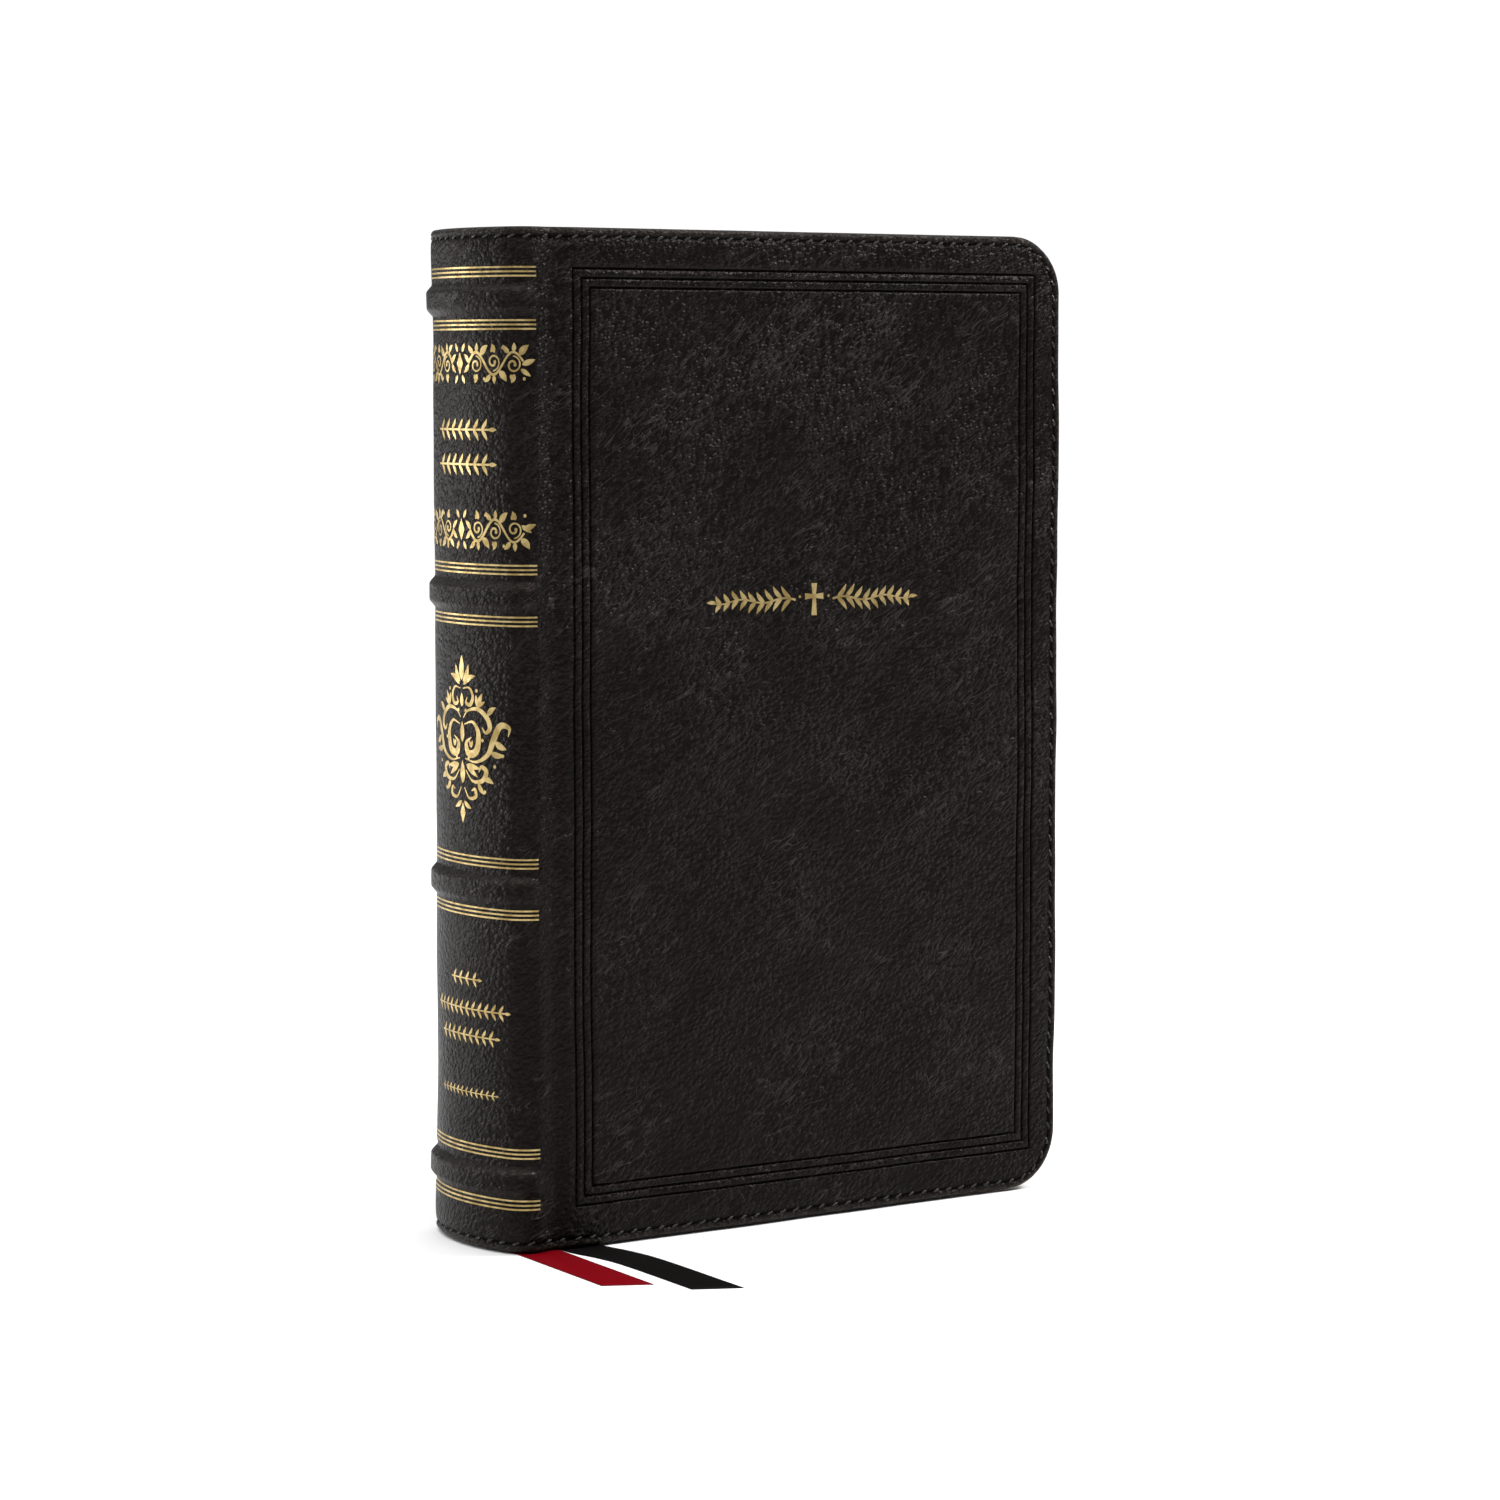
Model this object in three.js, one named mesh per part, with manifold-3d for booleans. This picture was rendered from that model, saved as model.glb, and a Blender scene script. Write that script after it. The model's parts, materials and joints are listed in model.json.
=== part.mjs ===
// A closed bible with a bonded-leather case, standing upright on its tail edge.
// Units are millimetres. +Z is up, the spine is on the -X side and the front cover faces -Y.
// The origin is on the floor, below the middle of the closed book.

import * as THREE from "three";
import { mergeVertices } from "three/addons/utils/BufferGeometryUtils.js";
import Module from "manifold-3d";

const wasm = await Module();
wasm.setup();

// Case, outside
const CASE_HEIGHT = 222;
const CASE_WIDTH = 151.8;
const CASE_THICKNESS = 40.6;
const FLOOR_GAP = 0.5;
const CORNER_RADIUS = 13.5;
const LEATHER = 1;
const COVER_THICKNESS = 3.2;

// Rounded spine: one wide arc with a tighter shoulder arc on each side
const SPINE_RADIUS = 40;
const SHOULDER_RADIUS = 8;
const HINGE_X = -63.8;
const HINGE_GAP = 0.3;

// Raised bands. Their two steps, and the card strips under them, end at these angles round the shoulders,
// in degrees from -X, so that a cover can fold right back against the spine.
const BAND_COUNT = 4;
const BAND_END_DISTANCE = 15.5;
const BAND_HEIGHT = 6.5;
const BAND_RISE = 1.3;
const BAND_SHOULDER_RISE = 0.7;
const BAND_TOP_HEIGHT = 4.4;
const BAND_FOOT_END = 56;
const BAND_TOP_END = 50;
const STRIP_POCKET_END = 51;
const STRIP_END = 49;
const STRIP_HEIGHT = 4;
const STRIP_THICKNESS = 1.2;

// Debossed frame on both covers
const FRAME_SPINE_X = -56.4;
const FRAME_FORE_EDGE_X = 68.3;
const FRAME_TAIL_Z = 9.5;
const FRAME_HEAD_Z = 213.9;
const FRAME_LINES = 3;
const FRAME_PITCH = 2.05;
const FRAME_LINE_WIDTH = 0.45;
const FRAME_LINE_DEPTH = 0.3;

// Sewing round the edges
const STITCH_INSET = 1.5;
const THREAD_WIDTH = 0.4;
const THREAD_DEPTH = 0.3;
const THREAD_GROOVE_WIDTH = 0.9;
const THREAD_GROOVE_DEPTH = 0.5;

// Layers inside the covers, as depths below the outside face
const BOARD_LAYER = [1.1, 2.6];
const PASTEDOWN_LAYER = [2.7, 3.1];
const BOARD_SPINE_X = -58;
const RIM_WIDTH = 2.4;
const PASTEDOWN_RIM = 3;

// Layers of the spine, as depths below its outside face. The ends are angles in degrees from -X.
const INLAY_LAYER = [1.1, 1.9];
const LINER_LAYER = [2.1, 2.35];
const GAUZE_LAYER = [2.45, 2.75];
const PAGE_SPINE_DEPTH = 2.9;
const INLAY_END = 40;
const LINER_END = 28;
const GAUZE_END = 42.6;
const INLAY_SETBACK = 3;
const LINER_SETBACK = 8;
const GAUZE_SETBACK = 14;

// Pages
const SQUARE = 4;
const PAGE_FORE_EDGE_X = 71.4;
const FORE_EDGE_HOLLOW = 2;
const PAGE_CORNER_RADIUS = 10;
const SECTIONS_PER_SIDE = 6;
const TURNING_SECTIONS_PER_SIDE = 4;
const SHEET_GAP = 0.1;
const FLYLEAF_DEPTHS = [3.3, 3.5];
const LEAF_DEPTHS = [[3.6, 3.7], [3.8, 3.9]];
const FIRST_SECTION_DEPTH = 4;
const MARGIN_DEPTH = 3.6;
const END_BAND_RADIUS = 1;
const END_BAND_POINTS = 5;
const END_BAND_STEPS = 12;
const END_BAND_SEGMENTS = 5;

// Ribbon markers
const RIBBON_WIDTH = 10;
const RIBBON_THICKNESS = 0.18;
const RIBBON_SLOT = 0.6;
const RIBBON_HEAD_SETBACK = 0.4;
const RIBBON_BEND_RADIUS = 4;
const RIBBON_END_SLANT = 4.6;
const RIBBON_SAMPLES = 14;
const RIBBON_REACH = -75;
const RIBBONS = {
  red: {
    y: -0.12,
    centre: [[-64.4, 2], [-64.4, -8], [-64.65, -20], [-65.1, -36], [-65.7, -56.2]],
  },
  black: {
    y: 0.12,
    centre: [[-53.8, 2], [-53.9, -8], [-54.1, -20], [-52.1, -29], [-51.1, -40], [-51.7, -69.5]],
  },
};

const HALF_THICKNESS = CASE_THICKNESS / 2;
const FORE_EDGE_X = CASE_WIDTH / 2;
const SPINE_BACK_X = -CASE_WIDTH / 2 + BAND_RISE;
const CASE_TAIL = FLOOR_GAP;
const CASE_HEAD = FLOOR_GAP + CASE_HEIGHT;
const PAGE_TAIL = CASE_TAIL + SQUARE;
const PAGE_HEAD = CASE_HEAD - SQUARE;
const ARC_SEGMENTS = 4;
const OVERCUT = 1;
const WELD_DISTANCE = 1e-5;
const QUARTER = Math.PI / 2;

// The shoulder arcs touch the wide arc and the covers' outside planes.
const SPINE_CENTRE_X = SPINE_BACK_X + SPINE_RADIUS;
const SHOULDER_Y = HALF_THICKNESS - SHOULDER_RADIUS;
const SHOULDER_X = SPINE_CENTRE_X - Math.sqrt((SPINE_RADIUS - SHOULDER_RADIUS) ** 2 - SHOULDER_Y ** 2);
const BLEND_ANGLE = Math.asin(SHOULDER_Y / (SPINE_RADIUS - SHOULDER_RADIUS));

const MATERIALS = {
  leather: { color: 0x221f1e, roughness: 0.5, metalness: 0 },
  board: { color: 0x8a8378, roughness: 0.9, metalness: 0 },
  endpaper: { color: 0x17161a, roughness: 0.7, metalness: 0 },
  page: { color: 0xeee6d2, roughness: 0.8, metalness: 0 },
  kraft: { color: 0xa27c52, roughness: 0.9, metalness: 0 },
  gauze: { color: 0xe2dccb, roughness: 0.95, metalness: 0 },
  thread: { color: 0x0f0e0e, roughness: 0.6, metalness: 0 },
  woven: { color: 0xc9a24a, roughness: 0.6, metalness: 0 },
  red: { color: 0x8c0016, roughness: 0.4, metalness: 0 },
  black: { color: 0x161414, roughness: 0.4, metalness: 0 },
};

const book = new THREE.Group();

function add(name, finish, geometry) {
  const mesh = new THREE.Mesh(geometry, new THREE.MeshStandardMaterial(MATERIALS[finish]));
  mesh.name = name;
  book.add(mesh);
}

function toSolid(geometry) {
  const bare = geometry.clone();
  bare.deleteAttribute("normal");
  bare.deleteAttribute("uv");
  const merged = mergeVertices(bare, WELD_DISTANCE);
  return new wasm.Manifold(new wasm.Mesh({
    numProp: 3,
    vertProperties: new Float32Array(merged.attributes.position.array),
    triVerts: new Uint32Array(merged.index.array),
  }));
}

function toGeometry(solid) {
  const mesh = solid.getMesh();
  const geometry = new THREE.BufferGeometry();
  geometry.setAttribute("position", new THREE.BufferAttribute(mesh.vertProperties, 3));
  geometry.setIndex(new THREE.BufferAttribute(mesh.triVerts, 1));
  geometry.computeVertexNormals();
  return geometry;
}

function extrude(shape, depth) {
  return new THREE.ExtrudeGeometry(shape, { depth, bevelEnabled: false, curveSegments: ARC_SEGMENTS });
}

// A shape drawn in plan (x, y), standing between two heights
function standing(shape, low, high) {
  return extrude(shape, high - low).translate(0, 0, low);
}

// A shape drawn in elevation (x, z), filling the space between two y values
function upright(shape, y1, y2) {
  return extrude(shape, Math.abs(y2 - y1)).rotateX(QUARTER).translate(0, Math.max(y1, y2), 0);
}

// A panel between two depths below one cover's outside face: side -1 is the front, 1 the back
function layer(shape, side, depths) {
  return upright(shape, side * (HALF_THICKNESS - depths[0]), side * (HALF_THICKNESS - depths[1]));
}

// A page or cover outline: square at the spine side and rounded at the fore-edge corners
function outline(spineX, foreEdgeX, tail, head, radius) {
  const shape = new THREE.Shape();
  shape.moveTo(spineX, tail);
  shape.lineTo(foreEdgeX - radius, tail);
  shape.absarc(foreEdgeX - radius, tail + radius, radius, -QUARTER, 0, false);
  shape.lineTo(foreEdgeX, head - radius);
  shape.absarc(foreEdgeX - radius, head - radius, radius, 0, QUARTER, false);
  shape.lineTo(spineX, head);
  return shape;
}

function coverOutline(inset, spineX) {
  const tail = CASE_TAIL + inset;
  const head = CASE_HEAD - inset;
  return outline(spineX, FORE_EDGE_X - inset, tail, head, CORNER_RADIUS - inset);
}

function rectangle(x1, z1, x2, z2) {
  const shape = new THREE.Shape();
  shape.moveTo(x1, z1);
  shape.lineTo(x2, z1);
  shape.lineTo(x2, z2);
  shape.lineTo(x1, z2);
  return shape;
}

// A strip that follows the spine between two depths. It reaches round each shoulder to shoulderAngle from
// the -X direction, and from a full quarter turn it goes on along the covers' planes to flatX.
function spineStrip(outer, inner, shoulderAngle, flatX) {
  const shape = new THREE.Shape();
  const start = Math.PI + shoulderAngle;
  const blend = Math.PI + BLEND_ANGLE;
  const r1 = SHOULDER_RADIUS - outer;
  const r2 = SHOULDER_RADIUS - inner;
  if (flatX !== undefined) {
    shape.moveTo(flatX, -HALF_THICKNESS + outer);
    shape.lineTo(SHOULDER_X, -HALF_THICKNESS + outer);
  }
  shape.absarc(SHOULDER_X, -SHOULDER_Y, r1, start, blend, true);
  shape.absarc(SPINE_CENTRE_X, 0, SPINE_RADIUS - outer, blend, Math.PI - BLEND_ANGLE, true);
  shape.absarc(SHOULDER_X, SHOULDER_Y, r1, Math.PI - BLEND_ANGLE, Math.PI - shoulderAngle, true);
  if (flatX !== undefined) {
    shape.lineTo(flatX, HALF_THICKNESS - outer);
    shape.lineTo(flatX, HALF_THICKNESS - inner);
    shape.lineTo(SHOULDER_X, HALF_THICKNESS - inner);
  }
  shape.absarc(SHOULDER_X, SHOULDER_Y, r2, Math.PI - shoulderAngle, Math.PI - BLEND_ANGLE, false);
  shape.absarc(SPINE_CENTRE_X, 0, SPINE_RADIUS - inner, Math.PI - BLEND_ANGLE, blend, false);
  shape.absarc(SHOULDER_X, -SHOULDER_Y, r2, blend, start, false);
  if (flatX !== undefined) {
    shape.lineTo(flatX, -HALF_THICKNESS + inner);
  }
  return shape;
}

function degrees(angle) {
  return THREE.MathUtils.degToRad(angle);
}

// Covers: skin with its turned edge, board, glued endpaper and edge sewing
function addCover(side, word) {
  const hingeSide = HINGE_X + HINGE_GAP;
  let skin = toSolid(layer(coverOutline(0, hingeSide), side, [0, COVER_THICKNESS]));
  const pocket = coverOutline(RIM_WIDTH, hingeSide - OVERCUT);
  skin = skin.subtract(toSolid(layer(pocket, side, [LEATHER, COVER_THICKNESS + OVERCUT])));
  for (let line = 0; line < FRAME_LINES; line += 1) {
    const inset = line * FRAME_PITCH;
    skin = skin.subtract(frameLine(side, inset));
  }
  const groove = (THREAD_GROOVE_WIDTH - THREAD_WIDTH) / 2;
  skin = skin.subtract(edgeLine(side, groove, [-OVERCUT, THREAD_GROOVE_DEPTH]));
  add(`${word}_cover_leather`, "leather", toGeometry(skin));

  const board = coverOutline(RIM_WIDTH + HINGE_GAP, BOARD_SPINE_X);
  add(`${word}_board`, "board", layer(board, side, BOARD_LAYER));

  const pastedown = coverOutline(PASTEDOWN_RIM, hingeSide);
  add(`${word}_pastedown`, "endpaper", layer(pastedown, side, PASTEDOWN_LAYER));

  add(`${word}_edge_thread`, "thread", toGeometry(edgeLine(side, 0, [0, THREAD_DEPTH])));
}

// One rectangular debossed line, as the solid that is cut away
function frameLine(side, inset) {
  const x1 = FRAME_SPINE_X + inset;
  const x2 = FRAME_FORE_EDGE_X - inset;
  const z1 = FRAME_TAIL_Z + inset;
  const z2 = FRAME_HEAD_Z - inset;
  const width = FRAME_LINE_WIDTH;
  const depths = [-OVERCUT, FRAME_LINE_DEPTH];
  const outside = toSolid(layer(rectangle(x1, z1, x2, z2), side, depths));
  const wider = [depths[0] - OVERCUT, depths[1] + OVERCUT];
  const inside = rectangle(x1 + width, z1 + width, x2 - width, z2 - width);
  return outside.subtract(toSolid(layer(inside, side, wider)));
}

// The line of sewing round the three free edges, made wider on both sides by grow
function edgeLine(side, grow, depths) {
  const start = HINGE_X + HINGE_GAP - (grow > 0 ? OVERCUT : 0);
  const outer = coverOutline(STITCH_INSET - THREAD_WIDTH / 2 - grow, start);
  const inner = coverOutline(STITCH_INSET + THREAD_WIDTH / 2 + grow, start - OVERCUT);
  const wider = [depths[0] - OVERCUT, depths[1] + OVERCUT];
  return toSolid(layer(outer, side, depths)).subtract(toSolid(layer(inner, side, wider)));
}

// Spine: skin with raised bands, the strips under them, and the layers behind
function bandCentre(index) {
  const first = CASE_HEAD - BAND_END_DISTANCE;
  const pitch = (CASE_HEIGHT - 2 * BAND_END_DISTANCE) / (BAND_COUNT - 1);
  return first - index * pitch;
}

function addSpine() {
  const flatX = HINGE_X - HINGE_GAP / 2;
  let skin = toSolid(standing(spineStrip(0, LEATHER, QUARTER, flatX), CASE_TAIL, CASE_HEAD));
  const stripOuter = LEATHER - STRIP_THICKNESS;
  for (let index = 0; index < BAND_COUNT; index += 1) {
    const z = bandCentre(index);
    const foot = [BAND_SHOULDER_RISE, BAND_HEIGHT, BAND_FOOT_END];
    const top = [BAND_RISE, BAND_TOP_HEIGHT, BAND_TOP_END];
    for (const [rise, height, end] of [foot, top]) {
      const step = spineStrip(-rise, LEATHER / 2, degrees(end));
      skin = skin.add(toSolid(standing(step, z - height / 2, z + height / 2)));
    }
    const half = STRIP_HEIGHT / 2;
    const pocket = spineStrip(stripOuter - HINGE_GAP / 2, LEATHER + OVERCUT, degrees(STRIP_POCKET_END));
    skin = skin.subtract(toSolid(standing(pocket, z - half - HINGE_GAP / 2, z + half + HINGE_GAP / 2)));
    const strip = spineStrip(stripOuter, LEATHER, degrees(STRIP_END));
    add(`raised_band_${index + 1}`, "board", standing(strip, z - half, z + half));
  }
  for (const [name, z] of [["tail", CASE_TAIL + STITCH_INSET], ["head", CASE_HEAD - STITCH_INSET]]) {
    const groove = spineStrip(-OVERCUT, THREAD_GROOVE_DEPTH, QUARTER, HINGE_X + OVERCUT);
    const half = THREAD_GROOVE_WIDTH / 2;
    skin = skin.subtract(toSolid(standing(groove, z - half, z + half)));
    const thread = spineStrip(0, THREAD_DEPTH, QUARTER, flatX);
    const halfThread = THREAD_WIDTH / 2;
    add(`spine_${name}_thread`, "thread", standing(thread, z - halfThread, z + halfThread));
  }
  add("spine_leather", "leather", toGeometry(skin));

  const inlay = spineStrip(...INLAY_LAYER, degrees(INLAY_END));
  add("spine_inlay", "board", standing(inlay, CASE_TAIL + INLAY_SETBACK, CASE_HEAD - INLAY_SETBACK));
  const liner = spineStrip(...LINER_LAYER, degrees(LINER_END));
  add("spine_liner", "kraft", standing(liner, CASE_TAIL + LINER_SETBACK, CASE_HEAD - LINER_SETBACK));
  const gauze = spineStrip(...GAUZE_LAYER, degrees(GAUZE_END));
  add("spine_gauze", "gauze", standing(gauze, CASE_TAIL + GAUZE_SETBACK, CASE_HEAD - GAUZE_SETBACK));
}

// Pages
function addMargin() {
  const halfPages = HALF_THICKNESS - MARGIN_DEPTH;
  const radius = SHOULDER_RADIUS - PAGE_SPINE_DEPTH;
  const reach = Math.asin((halfPages - SHOULDER_Y) / radius);
  const endX = HINGE_X - SHEET_GAP;
  const slotX = SPINE_BACK_X + PAGE_SPINE_DEPTH + OVERCUT;
  const shape = new THREE.Shape();
  shape.moveTo(endX, -halfPages);
  shape.absarc(SHOULDER_X, -SHOULDER_Y, radius, Math.PI + reach, Math.PI + BLEND_ANGLE, true);
  const spineRadius = SPINE_RADIUS - PAGE_SPINE_DEPTH;
  shape.absarc(SPINE_CENTRE_X, 0, spineRadius, Math.PI + BLEND_ANGLE, Math.PI - BLEND_ANGLE, true);
  shape.absarc(SHOULDER_X, SHOULDER_Y, radius, Math.PI - BLEND_ANGLE, Math.PI - reach, true);
  shape.lineTo(endX, halfPages);
  shape.lineTo(endX, RIBBON_SLOT / 2);
  shape.lineTo(slotX, RIBBON_SLOT / 2);
  shape.lineTo(slotX, -RIBBON_SLOT / 2);
  shape.lineTo(endX, -RIBBON_SLOT / 2);
  add("sewn_page_margin", "page", standing(shape, PAGE_TAIL, PAGE_HEAD));
}

function pageOutline(foreEdgeX) {
  return outline(HINGE_X + HINGE_GAP, foreEdgeX, PAGE_TAIL, PAGE_HEAD, PAGE_CORNER_RADIUS);
}

function addLeaves(side, word) {
  const leaf = pageOutline(PAGE_FORE_EDGE_X);
  add(`${word}_flyleaf`, "endpaper", layer(leaf, side, FLYLEAF_DEPTHS));
  LEAF_DEPTHS.forEach((depths, index) => {
    add(`${word}_leaf_${index + 1}`, "page", layer(leaf, side, depths));
  });
}

// Sections are counted from the front cover. The fore-edge is hollow, as deep as the spine is round.
function addSections() {
  const reach = HALF_THICKNESS - FIRST_SECTION_DEPTH;
  const pitch = (reach - RIBBON_SLOT / 2) / SECTIONS_PER_SIDE;
  for (let index = 0; index < 2 * SECTIONS_PER_SIDE; index += 1) {
    const side = index < SECTIONS_PER_SIDE ? -1 : 1;
    const fromCover = side < 0 ? index : 2 * SECTIONS_PER_SIDE - 1 - index;
    const depth = FIRST_SECTION_DEPTH + fromCover * pitch;
    const middle = (reach - (fromCover + 0.5) * pitch) / reach;
    const foreEdge = PAGE_FORE_EDGE_X - FORE_EDGE_HOLLOW * (1 - middle ** 2);
    const depths = [depth, depth + pitch - SHEET_GAP];
    add(`page_section_${index + 1}`, "page", layer(pageOutline(foreEdge), side, depths));
  }
}

// The woven bands lie on the ends of the pages, along their rounded spine.
function addEndBands() {
  const radius = SPINE_RADIUS - PAGE_SPINE_DEPTH - END_BAND_RADIUS - SHEET_GAP;
  const lift = END_BAND_RADIUS + HINGE_GAP;
  const section = new THREE.Shape();
  section.absarc(0, 0, END_BAND_RADIUS, 0, 2 * Math.PI, false);
  for (const [name, z] of [["head", PAGE_HEAD + lift], ["tail", PAGE_TAIL - lift]]) {
    const points = [];
    for (let index = 0; index < END_BAND_POINTS; index += 1) {
      const share = (2 * index) / (END_BAND_POINTS - 1) - 1;
      const angle = Math.PI - share * BLEND_ANGLE;
      points.push(new THREE.Vector3(SPINE_CENTRE_X + radius * Math.cos(angle), radius * Math.sin(angle), z));
    }
    const extrudePath = new THREE.CatmullRomCurve3(points);
    const settings = { steps: END_BAND_STEPS, curveSegments: END_BAND_SEGMENTS, extrudePath };
    add(`${name}_band`, "woven", new THREE.ExtrudeGeometry(section, settings));
  }
}

// Ribbon markers hang in the middle of the pages, turn at the tail and run out over the floor towards -Y.
// The side view gives a ribbon its route, and the plan gives it its edges and its slanted end.
function ribbonSideView(y) {
  const half = RIBBON_THICKNESS / 2;
  const top = PAGE_HEAD - RIBBON_HEAD_SETBACK;
  const bendY = y - RIBBON_BEND_RADIUS;
  const bendZ = RIBBON_BEND_RADIUS + half;
  const shape = new THREE.Shape();
  shape.moveTo(y + half, top);
  shape.lineTo(y - half, top);
  shape.absarc(bendY, bendZ, RIBBON_BEND_RADIUS - half, 0, -QUARTER, true);
  shape.lineTo(RIBBON_REACH, RIBBON_THICKNESS);
  shape.lineTo(RIBBON_REACH, 0);
  shape.absarc(bendY, bendZ, RIBBON_BEND_RADIUS + half, -QUARTER, 0, false);
  return shape;
}

function ribbonPlan(centre) {
  const curve = new THREE.SplineCurve(centre.map(([x, y]) => new THREE.Vector2(x, y)));
  const edge = (side) => {
    const points = [];
    for (let step = 0; step <= RIBBON_SAMPLES; step += 1) {
      const share = step / RIBBON_SAMPLES;
      const along = curve.getTangent(share);
      const point = curve.getPoint(share);
      const cut = step === RIBBON_SAMPLES ? (side * RIBBON_END_SLANT) / 2 : 0;
      point.x += (-along.y * side * RIBBON_WIDTH) / 2 + along.x * cut;
      point.y += (along.x * side * RIBBON_WIDTH) / 2 + along.y * cut;
      points.push(point);
    }
    return points;
  };
  return new THREE.Shape([...edge(-1), ...edge(1).reverse()]);
}

function addRibbon(colour) {
  const { y, centre } = RIBBONS[colour];
  const xs = centre.map(([x]) => x);
  const low = Math.min(...xs) - RIBBON_WIDTH;
  const width = Math.max(...xs) + RIBBON_WIDTH - low;
  const route = extrude(ribbonSideView(y), width).rotateY(QUARTER).rotateX(QUARTER).translate(low, 0, 0);
  const edges = standing(ribbonPlan(centre), -OVERCUT, CASE_HEAD);
  add(`ribbon_${colour}`, colour, toGeometry(toSolid(route).intersect(toSolid(edges))));
}

addSpine();
addCover(-1, "front");
addCover(1, "back");
addMargin();
addLeaves(-1, "front");
addLeaves(1, "back");
addSections();
addEndBands();
addRibbon("red");
addRibbon("black");

export default book;
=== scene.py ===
# A bible in a black leather case, standing on its tail edge. Lengths are in millimetres in the CAD's frame:
# +Z is up, the spine is on the -X side and the front cover faces -Y. make() turns them into metres.
import json
import math

import bpy
import numpy as np
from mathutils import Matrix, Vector

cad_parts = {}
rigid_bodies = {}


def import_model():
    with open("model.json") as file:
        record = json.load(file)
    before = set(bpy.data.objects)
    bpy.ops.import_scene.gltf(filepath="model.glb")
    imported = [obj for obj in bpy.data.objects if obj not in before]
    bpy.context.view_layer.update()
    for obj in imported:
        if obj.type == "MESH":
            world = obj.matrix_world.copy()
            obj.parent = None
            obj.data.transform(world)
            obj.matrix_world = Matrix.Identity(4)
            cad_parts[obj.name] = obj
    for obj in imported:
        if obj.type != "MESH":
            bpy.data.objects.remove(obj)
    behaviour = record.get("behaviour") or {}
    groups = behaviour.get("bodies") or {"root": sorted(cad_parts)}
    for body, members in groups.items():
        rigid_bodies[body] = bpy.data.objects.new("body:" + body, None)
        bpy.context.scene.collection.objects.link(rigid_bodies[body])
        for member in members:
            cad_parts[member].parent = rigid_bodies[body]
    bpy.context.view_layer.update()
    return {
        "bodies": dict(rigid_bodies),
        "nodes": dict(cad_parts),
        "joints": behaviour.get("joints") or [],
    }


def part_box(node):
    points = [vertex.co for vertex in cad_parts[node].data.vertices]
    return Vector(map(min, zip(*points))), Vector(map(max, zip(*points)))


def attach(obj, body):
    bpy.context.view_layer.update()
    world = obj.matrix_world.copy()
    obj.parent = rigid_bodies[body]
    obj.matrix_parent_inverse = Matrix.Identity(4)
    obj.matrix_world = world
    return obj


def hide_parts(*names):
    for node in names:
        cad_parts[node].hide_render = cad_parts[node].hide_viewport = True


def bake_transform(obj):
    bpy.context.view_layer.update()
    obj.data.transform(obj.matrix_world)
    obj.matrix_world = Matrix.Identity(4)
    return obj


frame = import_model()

MM = 0.001
FRONT, BACK = -1, 1
WORDS = {FRONT: "front", BACK: "back"}
TAU = 2 * math.pi


def span(node):
    low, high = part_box(node)
    return np.array(low) / MM, np.array(high) / MM


def depths(node, side):
    """A sheet's y on the side of its cover, and on the side of the middle of the book."""
    low, high = span(node)
    return (low[1], high[1]) if side == FRONT else (high[1], low[1])


# ---- Sizes that come from the frame ----
cover_low, cover_high = span("front_cover_leather")
spine_low, _ = span("spine_leather")
section_low, section_high = span("page_section_1")
CASE_TAIL, CASE_HEAD = cover_low[2], cover_high[2]
FORE_EDGE = cover_high[0]
HALF = -cover_low[1]
PAGE_TAIL, PAGE_HEAD = section_low[2], section_high[2]
ROOT = "text_block"
HINGE = {j["name"]: j for j in frame["joints"]}["front_cover_hinge"]["pos_m"][0] / MM

# ---- The case's shape ----
SPINE_RADIUS, SHOULDER_RADIUS = 40.0, 8.0
BAND_RISE = 1.3
CORNER_RADIUS = 13.5
SPINE_BACK = spine_low[0] + BAND_RISE
CENTRE_X = SPINE_BACK + SPINE_RADIUS
SHOULDER_Y = HALF - SHOULDER_RADIUS
SHOULDER_X = CENTRE_X - math.sqrt((SPINE_RADIUS - SHOULDER_RADIUS) ** 2 - SHOULDER_Y ** 2)
BLEND_ANGLE = math.asin(SHOULDER_Y / (SPINE_RADIUS - SHOULDER_RADIUS))
ARC_END = SPINE_RADIUS * BLEND_ANGLE
SHOULDER_END = ARC_END + SHOULDER_RADIUS * (math.pi / 2 - BLEND_ANGLE)
BAND_HEIGHTS = [CASE_HEAD - 15.5 - k * (CASE_HEAD - CASE_TAIL - 31) / 3 for k in range(4)]
COVER_DEPTH, SPINE_DEPTH = 3.2, 2.15
ROLL, INNER_ROLL = 1.1, 0.7
STITCH_INSET, STITCH_PITCH, STITCH_SLANT = 2.0, 3.6, -0.42
ORNAMENT_MIDDLE, MEDALLION_STRETCH = 2.0, 1.1
COVER_ORNAMENT_X, COVER_ORNAMENT_HEIGHT = 6.4, 140.8

# The debossed frame: three square-cornered lines on each cover
FRAME_X, FRAME_Z = (-56.2, 68.1), (9.7, 213.7)
LINES_FROM_BANDS = (5.91, -5.37, 5.87, -5.26, 6.00, -5.15, 6.27, -4.96)
FRAME_PITCH, FRAME_LINES = 2.05, 3
LINE_HEIGHTS = [band + away for band, away in zip(np.repeat(BAND_HEIGHTS, 2), LINES_FROM_BANDS)]
FRAME_DEPTH, FRAME_HALF_WIDTH = 0.5, 0.42


def smooth(low, high, value):
    t = np.clip((value - low) / (high - low), 0, 1)
    return t * t * (3 - 2 * t)


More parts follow.
